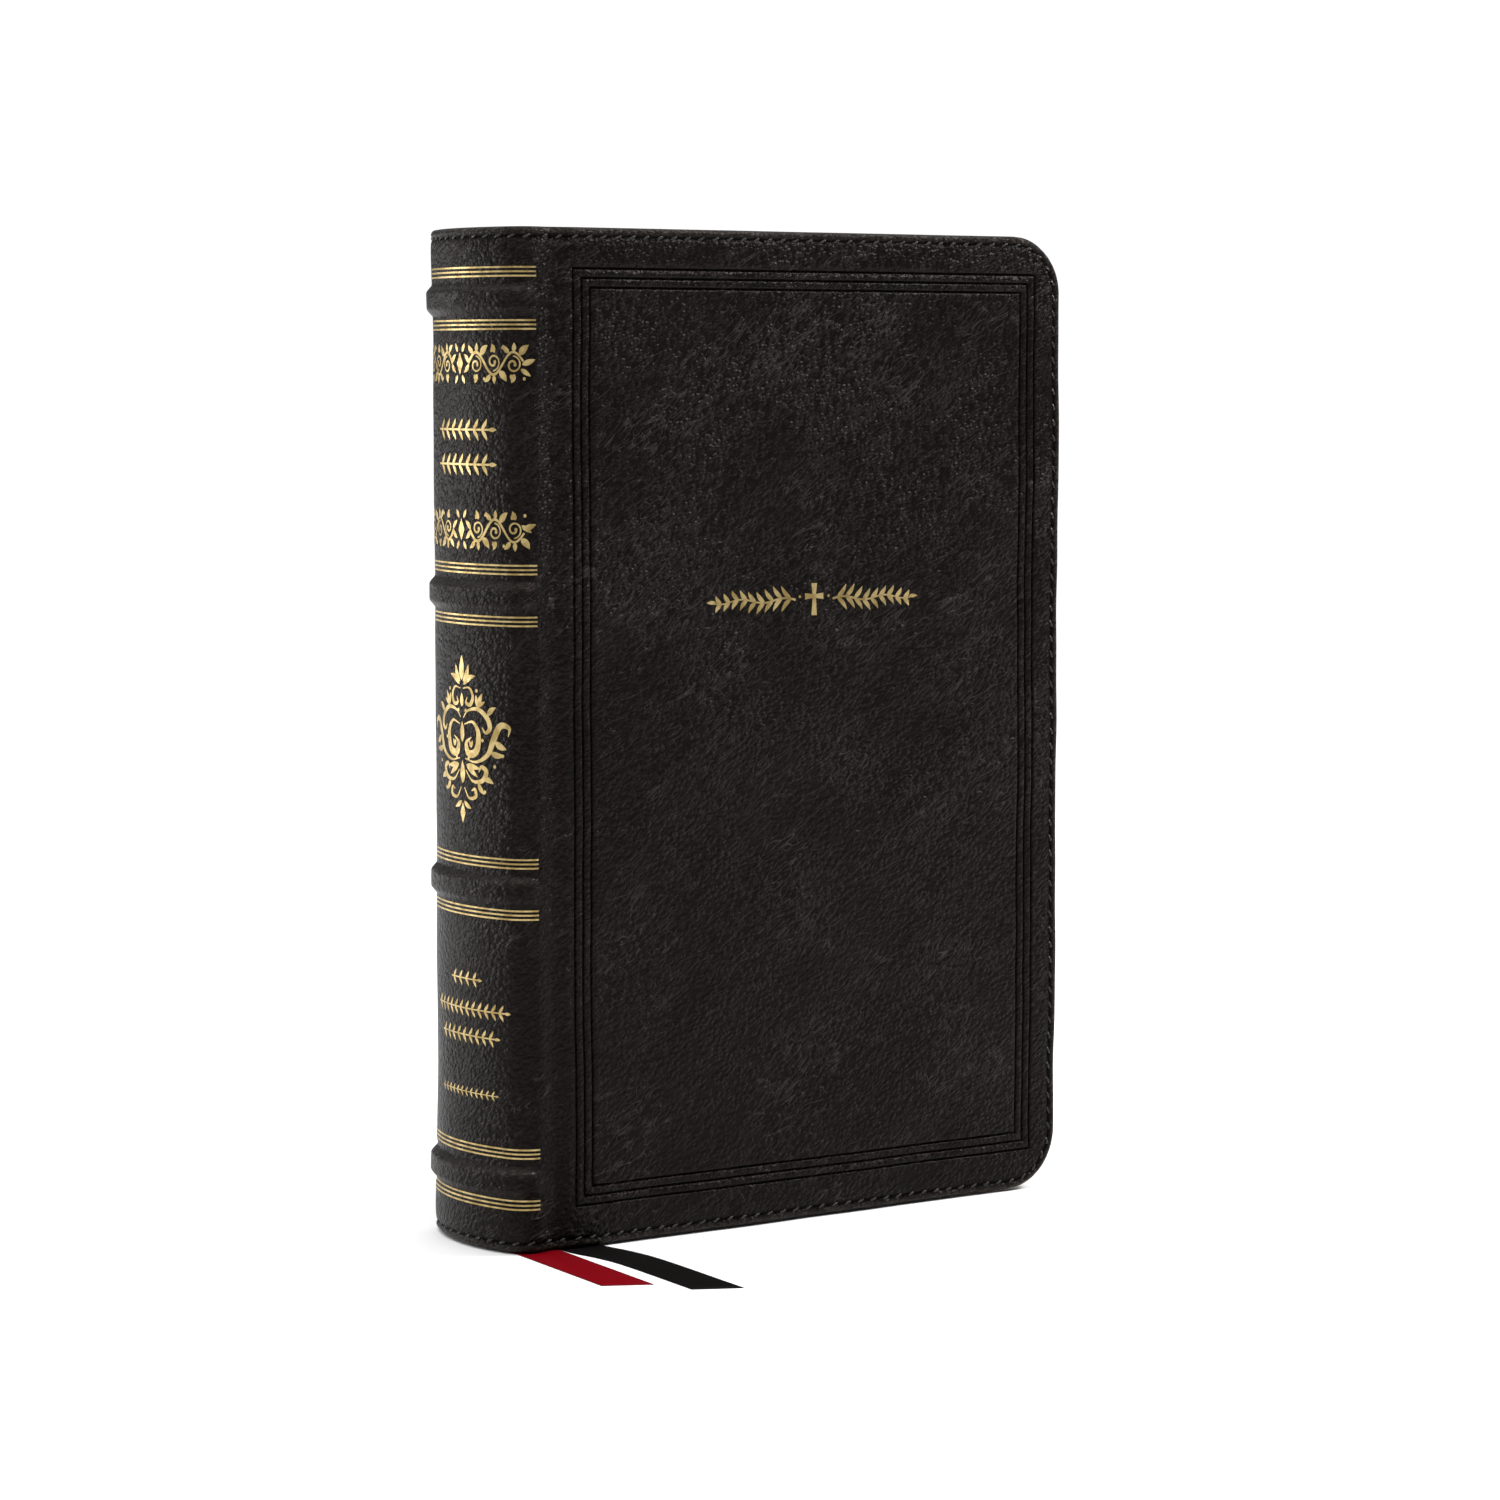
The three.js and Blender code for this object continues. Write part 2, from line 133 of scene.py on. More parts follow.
def girth(side, u):
    """The case's outside u mm round from the middle of the spine: x, y and the outward normal's x and y."""
    u = np.asarray(u, float)
    turn = np.minimum(u, ARC_END) / SPINE_RADIUS
    turn = turn + np.clip(u - ARC_END, 0, SHOULDER_END - ARC_END) / SHOULDER_RADIUS
    on_arc = u < ARC_END
    radius = np.where(on_arc, SPINE_RADIUS, SHOULDER_RADIUS)
    x = np.where(on_arc, CENTRE_X, SHOULDER_X) - radius * np.cos(turn) + np.maximum(u - SHOULDER_END, 0)
    y = np.where(on_arc, 0, SHOULDER_Y) + radius * np.sin(turn)
    return x, side * y, -np.cos(turn), side * np.sin(turn)


def girth_at(x):
    """How far round from the middle of the spine the cover's flat part reaches x."""
    return SHOULDER_END + x - SHOULDER_X


def edge_distance(x, z):
    """How far a point of a cover is inside the cover's outline."""
    cx = FORE_EDGE - CORNER_RADIUS
    straight = np.minimum(np.minimum(FORE_EDGE - x, CASE_HEAD - z), z - CASE_TAIL)
    middle = (CASE_HEAD + CASE_TAIL) / 2
    cz = np.where(z > middle, CASE_HEAD - CORNER_RADIUS, CASE_TAIL + CORNER_RADIUS)
    beyond = (x > cx) & (np.abs(z - middle) > (CASE_HEAD - CASE_TAIL) / 2 - CORNER_RADIUS)
    return np.where(beyond, CORNER_RADIUS - np.hypot(x - cx, z - cz), straight)


def frame_grooves(x, z):
    depth = np.zeros_like(x)
    for k in range(FRAME_LINES):
        inset = k * FRAME_PITCH
        half_x = (FRAME_X[1] - FRAME_X[0]) / 2 - inset
        half_z = (FRAME_Z[1] - FRAME_Z[0]) / 2 - inset
        off_x = np.abs(x - sum(FRAME_X) / 2) - half_x
        off_z = np.abs(z - sum(FRAME_Z) / 2) - half_z
        away = np.abs(np.maximum(off_x, off_z))
        depth = np.maximum(depth, 1 - smooth(0, FRAME_HALF_WIDTH, away))
    return FRAME_DEPTH * depth


WAVES = [(0.16, 0.021, 0.034, 0.4), (0.12, 0.055, -0.018, 2.1), (0.07, 0.083, 0.061, 4.0),
         (0.05, -0.047, 0.112, 1.3), (0.03, 0.15, 0.09, 5.2)]


def waviness(side, u, z):
    """Slow unevenness of the leather, in mm, which carries on through the middle of the spine."""
    total = np.zeros_like(u)
    for height, per_u, per_z, phase in WAVES:
        total = total + height * np.sin(TAU * (per_u * side * u + per_z * z) / 2 + phase)
    return total * (0.35 + 0.65 * smooth(22, 40, u))


def relief(side, u, z):
    """How far the leather stands out from the plain case at girth u and height z."""
    x, _, _, _ = girth(side, u)
    rise = np.zeros_like(u)
    for band in BAND_HEIGHTS:
        off = np.abs(z - band)
        rise = np.maximum(rise, 1 - smooth(1.6, 3.8, off))
        rise = rise - 0.15 * np.exp(-((off - 4.0) / 0.6) ** 2)
    rise = BAND_RISE * rise * (1 - smooth(20.0, 25.5, u))
    over_spine = 1 - smooth(20, 26, u)
    drawn_in = 0.74 * smooth(2, 44, z - CASE_TAIL) * (0.35 + 0.65 * smooth(6, 24, CASE_HEAD - z)) * over_spine
    valley = 1.05 * np.exp(-((x - HINGE - 2.6) / 3.1) ** 2) * (u > ARC_END)
    pillow = 0.12 * smooth(1.9, 5, edge_distance(x, z))
    stitched = 0.32 * np.exp(-((edge_distance(x, z) - STITCH_INSET) / 0.5) ** 2)
    grooves = frame_grooves(x, z) * (u > SHOULDER_END)
    resting = 0.3 * (1 - over_spine) + 0.04
    return rise - drawn_in - valley + pillow - stitched - grooves - resting + waviness(side, u, z)


def rubbed(u, z):
    """How worn the leather is, with painted light: above 0, rubbed wear on the outside edges and a painted
    highlight on the bands' upper shoulders; below 0, painted shade in the frame's lines and along the seam."""
    x = SHOULDER_X + u - SHOULDER_END
    worn = np.zeros_like(u)
    # Painted highlight on the bands' upper shoulders, weaker on their lower ones and stronger away from the
    # middle of the spine.
    for band in BAND_HEIGHTS:
        shoulder = np.exp(-((z - band - 2.2) / 0.9) ** 2) + 0.3 * np.exp(-((z - band + 2.2) / 0.9) ** 2)
        worn = np.maximum(worn, shoulder * (0.25 + 0.75 * smooth(6, 16, u)) * (1 - smooth(22, 25, u)))
    worn = np.maximum(worn, 0.7 * (1 - smooth(0.9, 1.9, edge_distance(x, z))))
    # Painted shade: the frame's lines and the seam go below 0, where the leather is darkened.
    seam = np.exp(-((edge_distance(x, z) - STITCH_INSET) / 0.45) ** 2)
    return worn - 0.75 * frame_grooves(x, z) / FRAME_DEPTH - 0.8 * seam


def on_case(side, u, z, lift=0.0):
    x, y, nx, ny = girth(side, u)
    h = relief(side, u, z) + lift
    return np.stack([x + nx * h, y + ny * h, z + 0 * x], -1)


# ---- Making meshes ----
def make(name, points, faces, materials, body=None, indices=None, flat=None, wear_and_painted_light=None, smooth_faces=True):
    mesh = bpy.data.meshes.new(name)
    mesh.from_pydata((np.asarray(points) * MM).tolist(), [], faces)
    for material in materials:
        mesh.materials.append(material)
    if indices is not None:
        mesh.polygons.foreach_set("material_index", np.asarray(indices, np.int32))
    if flat is not None:
        attribute = mesh.attributes.new("flat", "FLOAT_VECTOR", "POINT")
        attribute.data.foreach_set("vector", np.asarray(flat, np.float32).ravel())
    if wear_and_painted_light is not None:
        mesh.attributes.new("wear_and_painted_light", "FLOAT", "POINT").data.foreach_set("value", np.asarray(wear_and_painted_light, np.float32))
    mesh.polygons.foreach_set("use_smooth", [smooth_faces] * len(mesh.polygons))
    mesh.validate()
    mesh.update()
    piece = bpy.data.objects.new(name, mesh)
    bpy.context.scene.collection.objects.link(piece)
    if body:
        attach(piece, body)
    return piece


def bend_with_cover(piece):
    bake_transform(piece)


def grid_faces(columns, rows, flip=False, first=0):
    """Faces of a grid whose point (i, j) is number first + i * rows + j."""
    faces = []
    for i in range(columns - 1):
        for j in range(rows - 1):
            a = first + i * rows + j
            quad = (a, a + rows, a + rows + 1, a + 1)
            faces.append(quad[::-1] if flip else quad)
    return faces


def grid_border(columns, rows):
    """The points round a grid's edge, in order."""
    border = [i * rows for i in range(columns)] + [(columns - 1) * rows + j for j in range(1, rows)]
    return border + [i * rows + rows - 1 for i in range(columns - 2, -1, -1)] + list(range(rows - 2, 0, -1))


def tube_faces(rings, sides):
    """The walls and both ends of a tube whose point s of ring r is number r * sides + s."""
    faces = []
    for r in range(rings - 1):
        for s in range(sides):
            a, b = r * sides + s, r * sides + (s + 1) % sides
            faces.append((a, a + sides, b + sides, b))
    faces.append(tuple(range(sides)))
    faces.append(tuple((rings - 1) * sides + s for s in range(sides))[::-1])
    return faces


def samples(low, high, step, marks=(), offsets=()):
    """Evenly spaced places from low to high, with closer ones round each mark."""
    wanted = set(np.round(np.linspace(low, high, max(2, round((high - low) / step) + 1)), 4))
    near = {round(mark + off, 4) for mark in marks for off in offsets if low < mark + off < high}
    reach = max((abs(o) for o in offsets), default=0)
    kept = {w for w in wanted if w in (round(low, 4), round(high, 4))
            or all(abs(w - mark) > reach + 0.15 for mark in marks)}
    return np.array(sorted(kept | near))


# ---- Materials ----
class Nodes:
    """A short way to write a material's nodes."""

    def __init__(self, name):
        self.material = bpy.data.materials.new(name)
        self.material.use_nodes = True
        self.tree = self.material.node_tree
        self.shader = self.tree.nodes["Principled BSDF"]

    def add(self, kind, **values):
        node = self.tree.nodes.new(kind)
        for key, value in values.items():
            if hasattr(node, key):
                setattr(node, key, value)
            else:
                self.set(node, key.replace("_", " "), value)
        return node

    def set(self, node, socket, value):
        if isinstance(value, bpy.types.NodeSocket):
            self.tree.links.new(value, node.inputs[socket])
        else:
            node.inputs[socket].default_value = value

    def place(self, size=(1, 1, 1), turn=0.0, attribute="flat"):
        """Coordinates that grow by 1 over each size in mm, along axes turned by turn. They follow the
        flattened leather, or the object's own coordinates when attribute is None."""
        if attribute:
            source = self.add("ShaderNodeAttribute", attribute_name=attribute).outputs["Vector"]
        else:
            source = self.add("ShaderNodeTexCoord").outputs["Object"]
            size = tuple(s * MM for s in size)
        mapping = self.add("ShaderNodeMapping", vector_type="TEXTURE", Vector=source, Scale=size)
        mapping.inputs["Rotation"].default_value = (0, 0, turn)
        return mapping.outputs["Vector"]

    def noise(self, vector, detail=4, roughness=0.5, distortion=0.0):
        node = self.add("ShaderNodeTexNoise", Vector=vector, Scale=1.0, Detail=detail)
        node.inputs["Roughness"].default_value = roughness
        node.inputs["Distortion"].default_value = distortion
        return node.outputs["Fac"]

    def domes(self, vector, randomness=1.0):
        """Rounded grains, one to each unit of the coordinates: 1 in their middles and 0 in the valleys."""
        node = self.add("ShaderNodeTexVoronoi", feature="F1", Vector=vector, Scale=1.0)
        node.inputs["Randomness"].default_value = randomness
        return self.ramp(node.outputs["Distance"], 0.12, 0.75, 1.0, 0.0)

    def waves(self, vector, direction="X"):
        """Waves one unit of the coordinates apart."""
        node = self.add("ShaderNodeTexWave", Vector=vector, Scale=TAU / 20, bands_direction=direction)
        return node.outputs["Fac"]

    def lines(self, value, width):
        """1 along the lines where value passes through 0.5."""
        away = self.math("ABSOLUTE", self.math("SUBTRACT", value, 0.5))
        return self.ramp(away, 0.0, width, 1.0, 0.0)

    def math(self, operation, a, b=None):
        node = self.tree.nodes.new("ShaderNodeMath")
        node.operation = operation
        for socket, value in zip(node.inputs, (a, b)):
            if isinstance(value, bpy.types.NodeSocket):
                self.tree.links.new(value, socket)
            elif value is not None:
                socket.default_value = value
        return node.outputs[0]

    def times(self, a, b):
        return self.math("MULTIPLY", a, b)

    def plus(self, a, b):
        return self.math("ADD", a, b)

    def ramp(self, value, low, high, out_low=0.0, out_high=1.0):
        node = self.tree.nodes.new("ShaderNodeMapRange")
        node.interpolation_type = "SMOOTHSTEP"
        self.tree.links.new(value, node.inputs["Value"])
        for socket, number in zip(list(node.inputs)[1:5], (low, high, out_low, out_high)):
            socket.default_value = number
        return node.outputs["Result"]

    def mix(self, share, a, b):
        node = self.tree.nodes.new("ShaderNodeMix")
        node.data_type = "RGBA"
        for socket, value in ((node.inputs[0], share), (node.inputs[6], a), (node.inputs[7], b)):
            if isinstance(value, bpy.types.NodeSocket):
                self.tree.links.new(value, socket)
            else:
                socket.default_value = value if isinstance(value, float) else (*value, 1)
        return node.outputs[2]

    def bump(self, height, distance, strength=1.0, normal=None):
        node = self.add("ShaderNodeBump", Height=height, Strength=strength)
        node.inputs["Distance"].default_value = distance * MM
        if normal is not None:
            self.tree.links.new(normal, node.inputs["Normal"])
        return node.outputs["Normal"]

    def finish(self, **sockets):
        for key, value in sockets.items():
            name = key.replace("_", " ")
            if not isinstance(value, (bpy.types.NodeSocket, float, int)):
                value = (*value, 1)
            self.set(self.shader, name, value)
        return self.material


def leather_material():
    n = Nodes("black_leather")
    pebble = n.domes(n.place((1.35, 1.05, 1), 0.5))
    small = n.domes(n.place((0.7, 0.6, 1), 0.2))
    fine = n.noise(n.place((0.5, 0.5, 1)), 2, 0.6)
    # Creases where the skin was drawn over the board: long ones that climb to the right, and short ones
    long = n.lines(n.noise(n.place((13, 2.2, 1), 0.5), 1.2, 0.5, 0.2), 0.026)
    short = n.lines(n.noise(n.place((6, 1.6, 1), 0.8), 1.2, 0.5, 0.2), 0.026)
    patches = n.ramp(n.noise(n.place((34, 24, 1), 0.5), 3, 0.6), 0.45, 0.62)
    broken = n.ramp(n.noise(n.place((4.5, 3, 1), 0.5), 2), 0.45, 0.58)
    creases = n.math("MAXIMUM", n.times(long, broken), n.times(short, patches))
    creases = n.times(creases, n.ramp(patches, 0.0, 1.0, 0.3, 1.0))
    grain = n.ramp(n.noise(n.place((26, 30, 1), 0.2), 2), 0.35, 0.65, 0.5, 1.0)
    pebbled = n.times(pebble, grain)
    # The attribute holds rubbed wear on the edges and a painted highlight on the bands' upper shoulders above
    # 0, and painted shade in the frame's lines and along the seam below 0.
    wear_and_painted_light = n.add("ShaderNodeAttribute", attribute_name="wear_and_painted_light").outputs["Fac"]
    worn = n.math("MAXIMUM", wear_and_painted_light, 0.0)
    groove_shade = n.math("MAXIMUM", n.times(wear_and_painted_light, -1.0), 0.0)
    normal = n.bump(pebbled, 0.24, 1.0)
    normal = n.bump(small, 0.07, 0.8, normal)
    normal = n.bump(fine, 0.08, 0.7, normal)
    normal = n.bump(creases, 0.24, 1.0, normal)
    # Painted highlight: the pebbles' crests are made lighter.
    crest = n.times(pebbled, n.ramp(fine, 0.3, 0.7, 0.2, 1.0))
    cloudy = n.ramp(n.noise(n.place((45, 60, 1)), 3), 0.3, 0.7)
    tone = n.mix(cloudy, (0.0014, 0.0011, 0.0010), (0.0022, 0.0017, 0.0015))
    colour = n.mix(n.times(crest, 0.6), tone, (0.0090, 0.0070, 0.0062))
    # Painted highlight: the creases are made lighter, as glints along them.
    colour = n.mix(n.times(creases, 0.4), colour, (0.046, 0.038, 0.033))
    # Rubbed edges are lighter, and the bands' upper shoulders get a painted highlight, both broken into
    # specks.
    scuff_and_glint_specks = n.ramp(n.noise(n.place((1.6, 0.5, 1)), 5, 0.75), 0.50, 0.62)
    rub_and_highlight = n.times(worn, n.plus(n.times(scuff_and_glint_specks, 0.8), 0.2))
    colour = n.mix(n.times(rub_and_highlight, 0.7), colour, (0.050, 0.041, 0.036))
    # Painted shade: the leather turns near black in the frame's lines and along the seam.
    colour = n.mix(n.times(groove_shade, 0.9), colour, (0.0004, 0.0004, 0.0004))
    rough = n.plus(n.times(fine, 0.16), n.times(creases, -0.06))
    rough = n.plus(rough, n.times(rub_and_highlight, -0.1))
    rough = n.plus(rough, 0.30)
    gloss = n.times(n.math("SUBTRACT", 1.0, groove_shade), 0.095)
    return n.finish(Base_Color=colour, Roughness=rough, Normal=normal, Specular_IOR_Level=gloss,
                    Specular_Tint=(1.0, 0.86, 0.80))


def foil_material():
    n = Nodes("gold_foil")
    worn = n.ramp(n.noise(n.place((0.9, 0.9, 1)), 5, 0.7), 0.30, 0.38)
    tone = n.ramp(n.noise(n.place((2.8, 2.8, 1)), 2), 0.35, 0.65)
    gold = n.mix(tone, (0.33, 0.235, 0.088), (0.52, 0.40, 0.185))
    colour = n.mix(worn, (0.03, 0.022, 0.015), gold)
    normal = n.bump(n.noise(n.place((0.45, 0.45, 1)), 3, 0.6), 0.05, 0.6)
    rough = n.ramp(n.noise(n.place((0.6, 0.6, 1)), 3), 0.3, 0.7, 0.36, 0.56)
    return n.finish(Base_Color=colour, Metallic=worn, Roughness=rough, Normal=normal)


def thread_material():
    n = Nodes("black_thread")
    twist = n.waves(n.place((0.35, 0.35, 1)), "DIAGONAL")
    # Painted highlight: the thread is lighter along the ridges of its twist, as glints.
    colour = n.mix(twist, (0.0020, 0.0018, 0.0017), (0.030, 0.026, 0.023))
    normal = n.bump(twist, 0.12, 1.0)
    return n.finish(Base_Color=colour, Roughness=0.34, Normal=normal, Specular_IOR_Level=0.35)


def hole_shade_material():
    n = Nodes("needle_hole_shade")
    ragged = n.noise(n.place((0.2, 0.2, 1)), 3)
    # Painted shade: the needle hole is near black.
    colour = n.mix(ragged, (0.0006, 0.0006, 0.0006), (0.002, 0.002, 0.002))
    return n.finish(Base_Color=colour, Roughness=0.95, Normal=n.bump(ragged, 0.05), Specular_IOR_Level=0.05)


def paper_material():
    n = Nodes("bible_paper")
    fibres = n.noise(n.place((1.3, 0.7, 1), 0.4), 5, 0.6)
    colour = n.mix(n.ramp(n.noise(n.place((17, 17, 1)), 3), 0.3, 0.7), (0.74, 0.69, 0.57), (0.76, 0.71, 0.60))
    return n.finish(Base_Color=colour, Roughness=0.78, Normal=n.bump(fibres, 0.02, 0.4))


def gilt_material():
    """Gilded page edges: fine leaf lines that run along the edges, one beside another."""
    n = Nodes("gilded_edges")
    leaves = n.noise(n.place((80, 80, 0.16)), 4, 0.65)
    bunches = n.noise(n.place((160, 160, 1.1)), 3, 0.6)
    rubbed = n.noise(n.place((14, 14, 5)), 4, 0.6)
    lines = n.plus(n.times(leaves, 0.7), n.times(bunches, 0.5))
    colour = n.mix(n.ramp(lines, 0.40, 0.82), (0.26, 0.145, 0.040), (0.62, 0.42, 0.16))
    rough = n.plus(n.ramp(leaves, 0.3, 0.7, 0.24, 0.38), n.ramp(rubbed, 0.35, 0.65, 0.0, 0.12))
    return n.finish(Base_Color=colour, Metallic=0.92, Roughness=rough, Normal=n.bump(lines, 0.10, 0.7))


def endpaper_material():
    n = Nodes("black_endpaper")
    felt = n.noise(n.place((0.5, 0.5, 1)), 5, 0.65)
    cloudy = n.ramp(n.noise(n.place((11, 11, 1)), 3), 0.3, 0.7)
    colour = n.mix(cloudy, (0.010, 0.010, 0.011), (0.017, 0.016, 0.017))
    return n.finish(Base_Color=colour, Roughness=0.72, Normal=n.bump(felt, 0.04, 0.5), Specular_IOR_Level=0.3)


def satin_material(name, dark, light):
    """flat.x runs across the ribbon and flat.y along it."""
    n = Nodes(name)
    ribs = n.waves(n.place((1, 0.28, 1)), "Y")
    warp = n.noise(n.place((0.17, 8, 1)), 3, 0.6)
    across = n.add("ShaderNodeSeparateXYZ", Vector=n.place()).outputs["X"]
    selvedge = n.ramp(n.math("ABSOLUTE", across), 4.35, 4.55)
    colour = n.mix(warp, dark, light)
    colour = n.mix(n.times(selvedge, 0.5), colour, dark)
    normal = n.bump(ribs, 0.02, 0.35)
    normal = n.bump(warp, 0.03, 0.4, normal)
    normal = n.bump(selvedge, 0.08, 0.6, normal)
    return n.finish(Base_Color=colour, Roughness=0.42, Normal=normal, Anisotropic=0.5,
                    Specular_IOR_Level=0.07)


def woven_band_material():
    """flat.x runs along the band, in mm, and flat.y round it."""
    n = Nodes("woven_end_band")
    stripe = n.ramp(n.waves(n.place((1.9, 6, 1))), 0.45, 0.55)
    threads = n.waves(n.place((0.38, 2, 1)))
    colour = n.mix(stripe, (0.012, 0.011, 0.01), (0.52, 0.33, 0.08))
    return n.finish(Base_Color=colour, Roughness=0.5, Normal=n.bump(threads, 0.12, 0.8))


def fibre_material(name, dark, light, rough, size, depth):
    """Board, kraft paper and cloth inside the case, placed by the CAD piece's own coordinates."""
    n = Nodes(name)
    fleck = n.noise(n.place((size, size, size), attribute=None), 5, 0.7)
    colour = n.mix(n.ramp(fleck, 0.35, 0.65), dark, light)
    return n.finish(Base_Color=colour, Roughness=rough, Normal=n.bump(fleck, depth, 0.6))


LEATHER = leather_material()
FOIL = foil_material()
THREAD = thread_material()
HOLE_SHADE = hole_shade_material()
PAPER = paper_material()
GILT = gilt_material()
ENDPAPER = endpaper_material()
BOARD = fibre_material("grey_board", (0.16, 0.15, 0.13), (0.30, 0.28, 0.24), 0.9, 1.2, 0.1)
KRAFT = fibre_material("kraft_paper", (0.27, 0.16, 0.07), (0.38, 0.24, 0.12), 0.85, 0.8, 0.04)
GAUZE = fibre_material("cotton_gauze", (0.55, 0.50, 0.40), (0.78, 0.74, 0.64), 0.95, 0.5, 0.15)


# ---- The leather case ----
def corner_limit(z, reach, tail, head, radius):
    """Where a page or cover with rounded fore-edge corners ends, at height z."""
    over = np.maximum(np.maximum(z - (head - radius), (tail + radius) - z), 0)
    return reach - radius + np.sqrt(np.maximum(radius ** 2 - over ** 2, 0))


def warped(x, z, reach, tail, head, radius, ring=5.0):
    """Moves grid points near the fore-edge so that the grid ends on the rounded outline."""
    limit = corner_limit(z, reach, tail, head, radius)
    start = limit - ring
    near = start + (x - start) * ring / (reach - start)
    return np.where(x > start, near, x)


ACROSS_GROOVE = (-0.4, -0.25, -0.12, 0, 0.12, 0.25, 0.4)
FROM_EDGE = (0.2, 0.4, 0.6, 0.85, 1.15, 1.5, 2, 3, 4)


def case_rows():
    tail, head = CASE_TAIL + ROLL, CASE_HEAD - ROLL
    lines = [FRAME_Z[0] + k * FRAME_PITCH for k in range(FRAME_LINES)]
    lines += [FRAME_Z[1] - k * FRAME_PITCH for k in range(FRAME_LINES)]
    rows = set(samples(tail, head, 1.5, lines, ACROSS_GROOVE))
    for band in BAND_HEIGHTS:
        rows |= set(np.round(np.linspace(band - 4.6, band + 4.6, 24), 3))
    for off in FROM_EDGE:
        rows |= {tail + off, head - off}
    rows = sorted(rows)
    kept = [rows[0]]
    for z in rows[1:]:
        if z - kept[-1] > 0.09:
            kept.append(z)
    kept[-1] = head
    return np.array(kept)


def case_columns():
    """How far round from the middle of the spine each column of the leather's grid is."""
    spine = np.linspace(0, girth_at(HINGE - 2.4), 32)
    lines = [FRAME_X[0] + k * FRAME_PITCH for k in range(FRAME_LINES)]
    lines += [FRAME_X[1] - k * FRAME_PITCH for k in range(FRAME_LINES)]
    bend = np.linspace(HINGE - 2, HINGE + 5, 18)
    reach = FORE_EDGE - ROLL
    flat = samples(HINGE + 5.6, reach, 1.5, lines, ACROSS_GROOVE)
    edge = [reach - off for off in FROM_EDGE]
    flat = np.array(sorted(set(flat) | set(edge)))
    return np.concatenate([spine, girth_at(bend), girth_at(flat)])


def edge_section(u):
    """The leather's turned edge as (out, depth) pairs, from the grid's border over the edge to the inside."""
    on_cover = smooth(24, 33, u)
    depth = SPINE_DEPTH + (COVER_DEPTH - SPINE_DEPTH) * on_cover
    pairs = [(ROLL * math.sin(a), ROLL * (1 - math.cos(a))) for a in np.linspace(0.3, math.pi / 2, 5)]
    for a in np.linspace(0, math.pi / 2, 4):
        pairs.append((ROLL - INNER_ROLL * (1 - math.cos(a)), depth - INNER_ROLL * (1 - math.sin(a))))
    turned = -1.75 * on_cover - 5.2 * (1 - on_cover)
    pairs += [(turned, depth), (turned - 0.35, depth - 0.3), (turned - 1.5, depth - 0.5)]
    return pairs


def leather_half(side):
    us, zs = case_columns(), case_rows()
    columns, rows = len(us), len(zs)
    u, z = np.meshgrid(us, zs, indexing="ij")
    x = SHOULDER_X + u - SHOULDER_END
    tail, head, reach = CASE_TAIL + ROLL, CASE_HEAD - ROLL, FORE_EDGE - ROLL
    moved = warped(x, z, reach, tail, head, CORNER_RADIUS - ROLL)
    u = np.where(u > SHOULDER_END, girth_at(moved), u)
    points = on_case(side, u, z).reshape(-1, 3)
    flat = np.stack([-side * u, z, 0 * u], -1).reshape(-1, 3)
    faces = grid_faces(columns, rows, flip=side == BACK)

    tail_row = [i * rows for i in range(columns)]
    edge_column = [(columns - 1) * rows + j for j in range(1, rows)]
    head_row = [i * rows + rows - 1 for i in range(columns - 2, -1, -1)]
    border = tail_row + edge_column + head_row
    cx = FORE_EDGE - CORNER_RADIUS
    ring_points, ring_flat, ring_wear = [], [], []
    for index in border:
        i, j = divmod(index, rows)
        _, _, nx, ny = girth(side, u[i, j])
        px, pz = SHOULDER_X + u[i, j] - SHOULDER_END, z[i, j]
        if j == 0 and i < columns - 1:
            out = np.array([0, 0, -1.0])
        elif j == rows - 1 and i < columns - 1:
            out = np.array([0, 0, 1.0])
        else:
            cz = min(max(pz, CASE_TAIL + CORNER_RADIUS), CASE_HEAD - CORNER_RADIUS)
            out = np.array([px - cx, 0, pz - cz]) if pz != cz else np.array([1.0, 0, 0])
            out = out / np.linalg.norm(out)
        inward = -np.array([float(nx), float(ny), 0])
        for push, depth in edge_section(float(u[i, j])):
            ring_points.append(points[index] + out * push + inward * depth)
            ring_wear.append(0.75 if depth < 2 else 0.2)
            ring_flat.append(flat[index] + np.array([-side * out[0], out[2], 0]) * (push + depth))
    count = len(edge_section(0.0))
    first = len(points)
    for k in range(len(border) - 1):
        here = [border[k]] + [first + k * count + c for c in range(count)]
        after = [border[k + 1]] + [first + (k + 1) * count + c for c in range(count)]
        for c in range(count):
            quad = (here[c], here[c + 1], after[c + 1], after[c])
            faces.append(quad if side == FRONT else quad[::-1])
    points = np.concatenate([points, ring_points])
    flat = np.concatenate([flat, ring_flat])
    # Rubbed wear, painted highlight and painted shade from rubbed(), and rubbed wear on the turned edge.
    wear_and_painted_light = np.concatenate([rubbed(u, z).ravel(), ring_wear])
    skin = make(f"{WORDS[side]}_leather", points, faces, [LEATHER], flat=flat, wear_and_painted_light=wear_and_painted_light)
    match_normals_at_the_middle(skin, rows, zs)
    bend_with_cover(skin)
    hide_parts(f"{WORDS[side]}_cover_leather", *(["spine_leather"] if side == FRONT else []))
    return skin


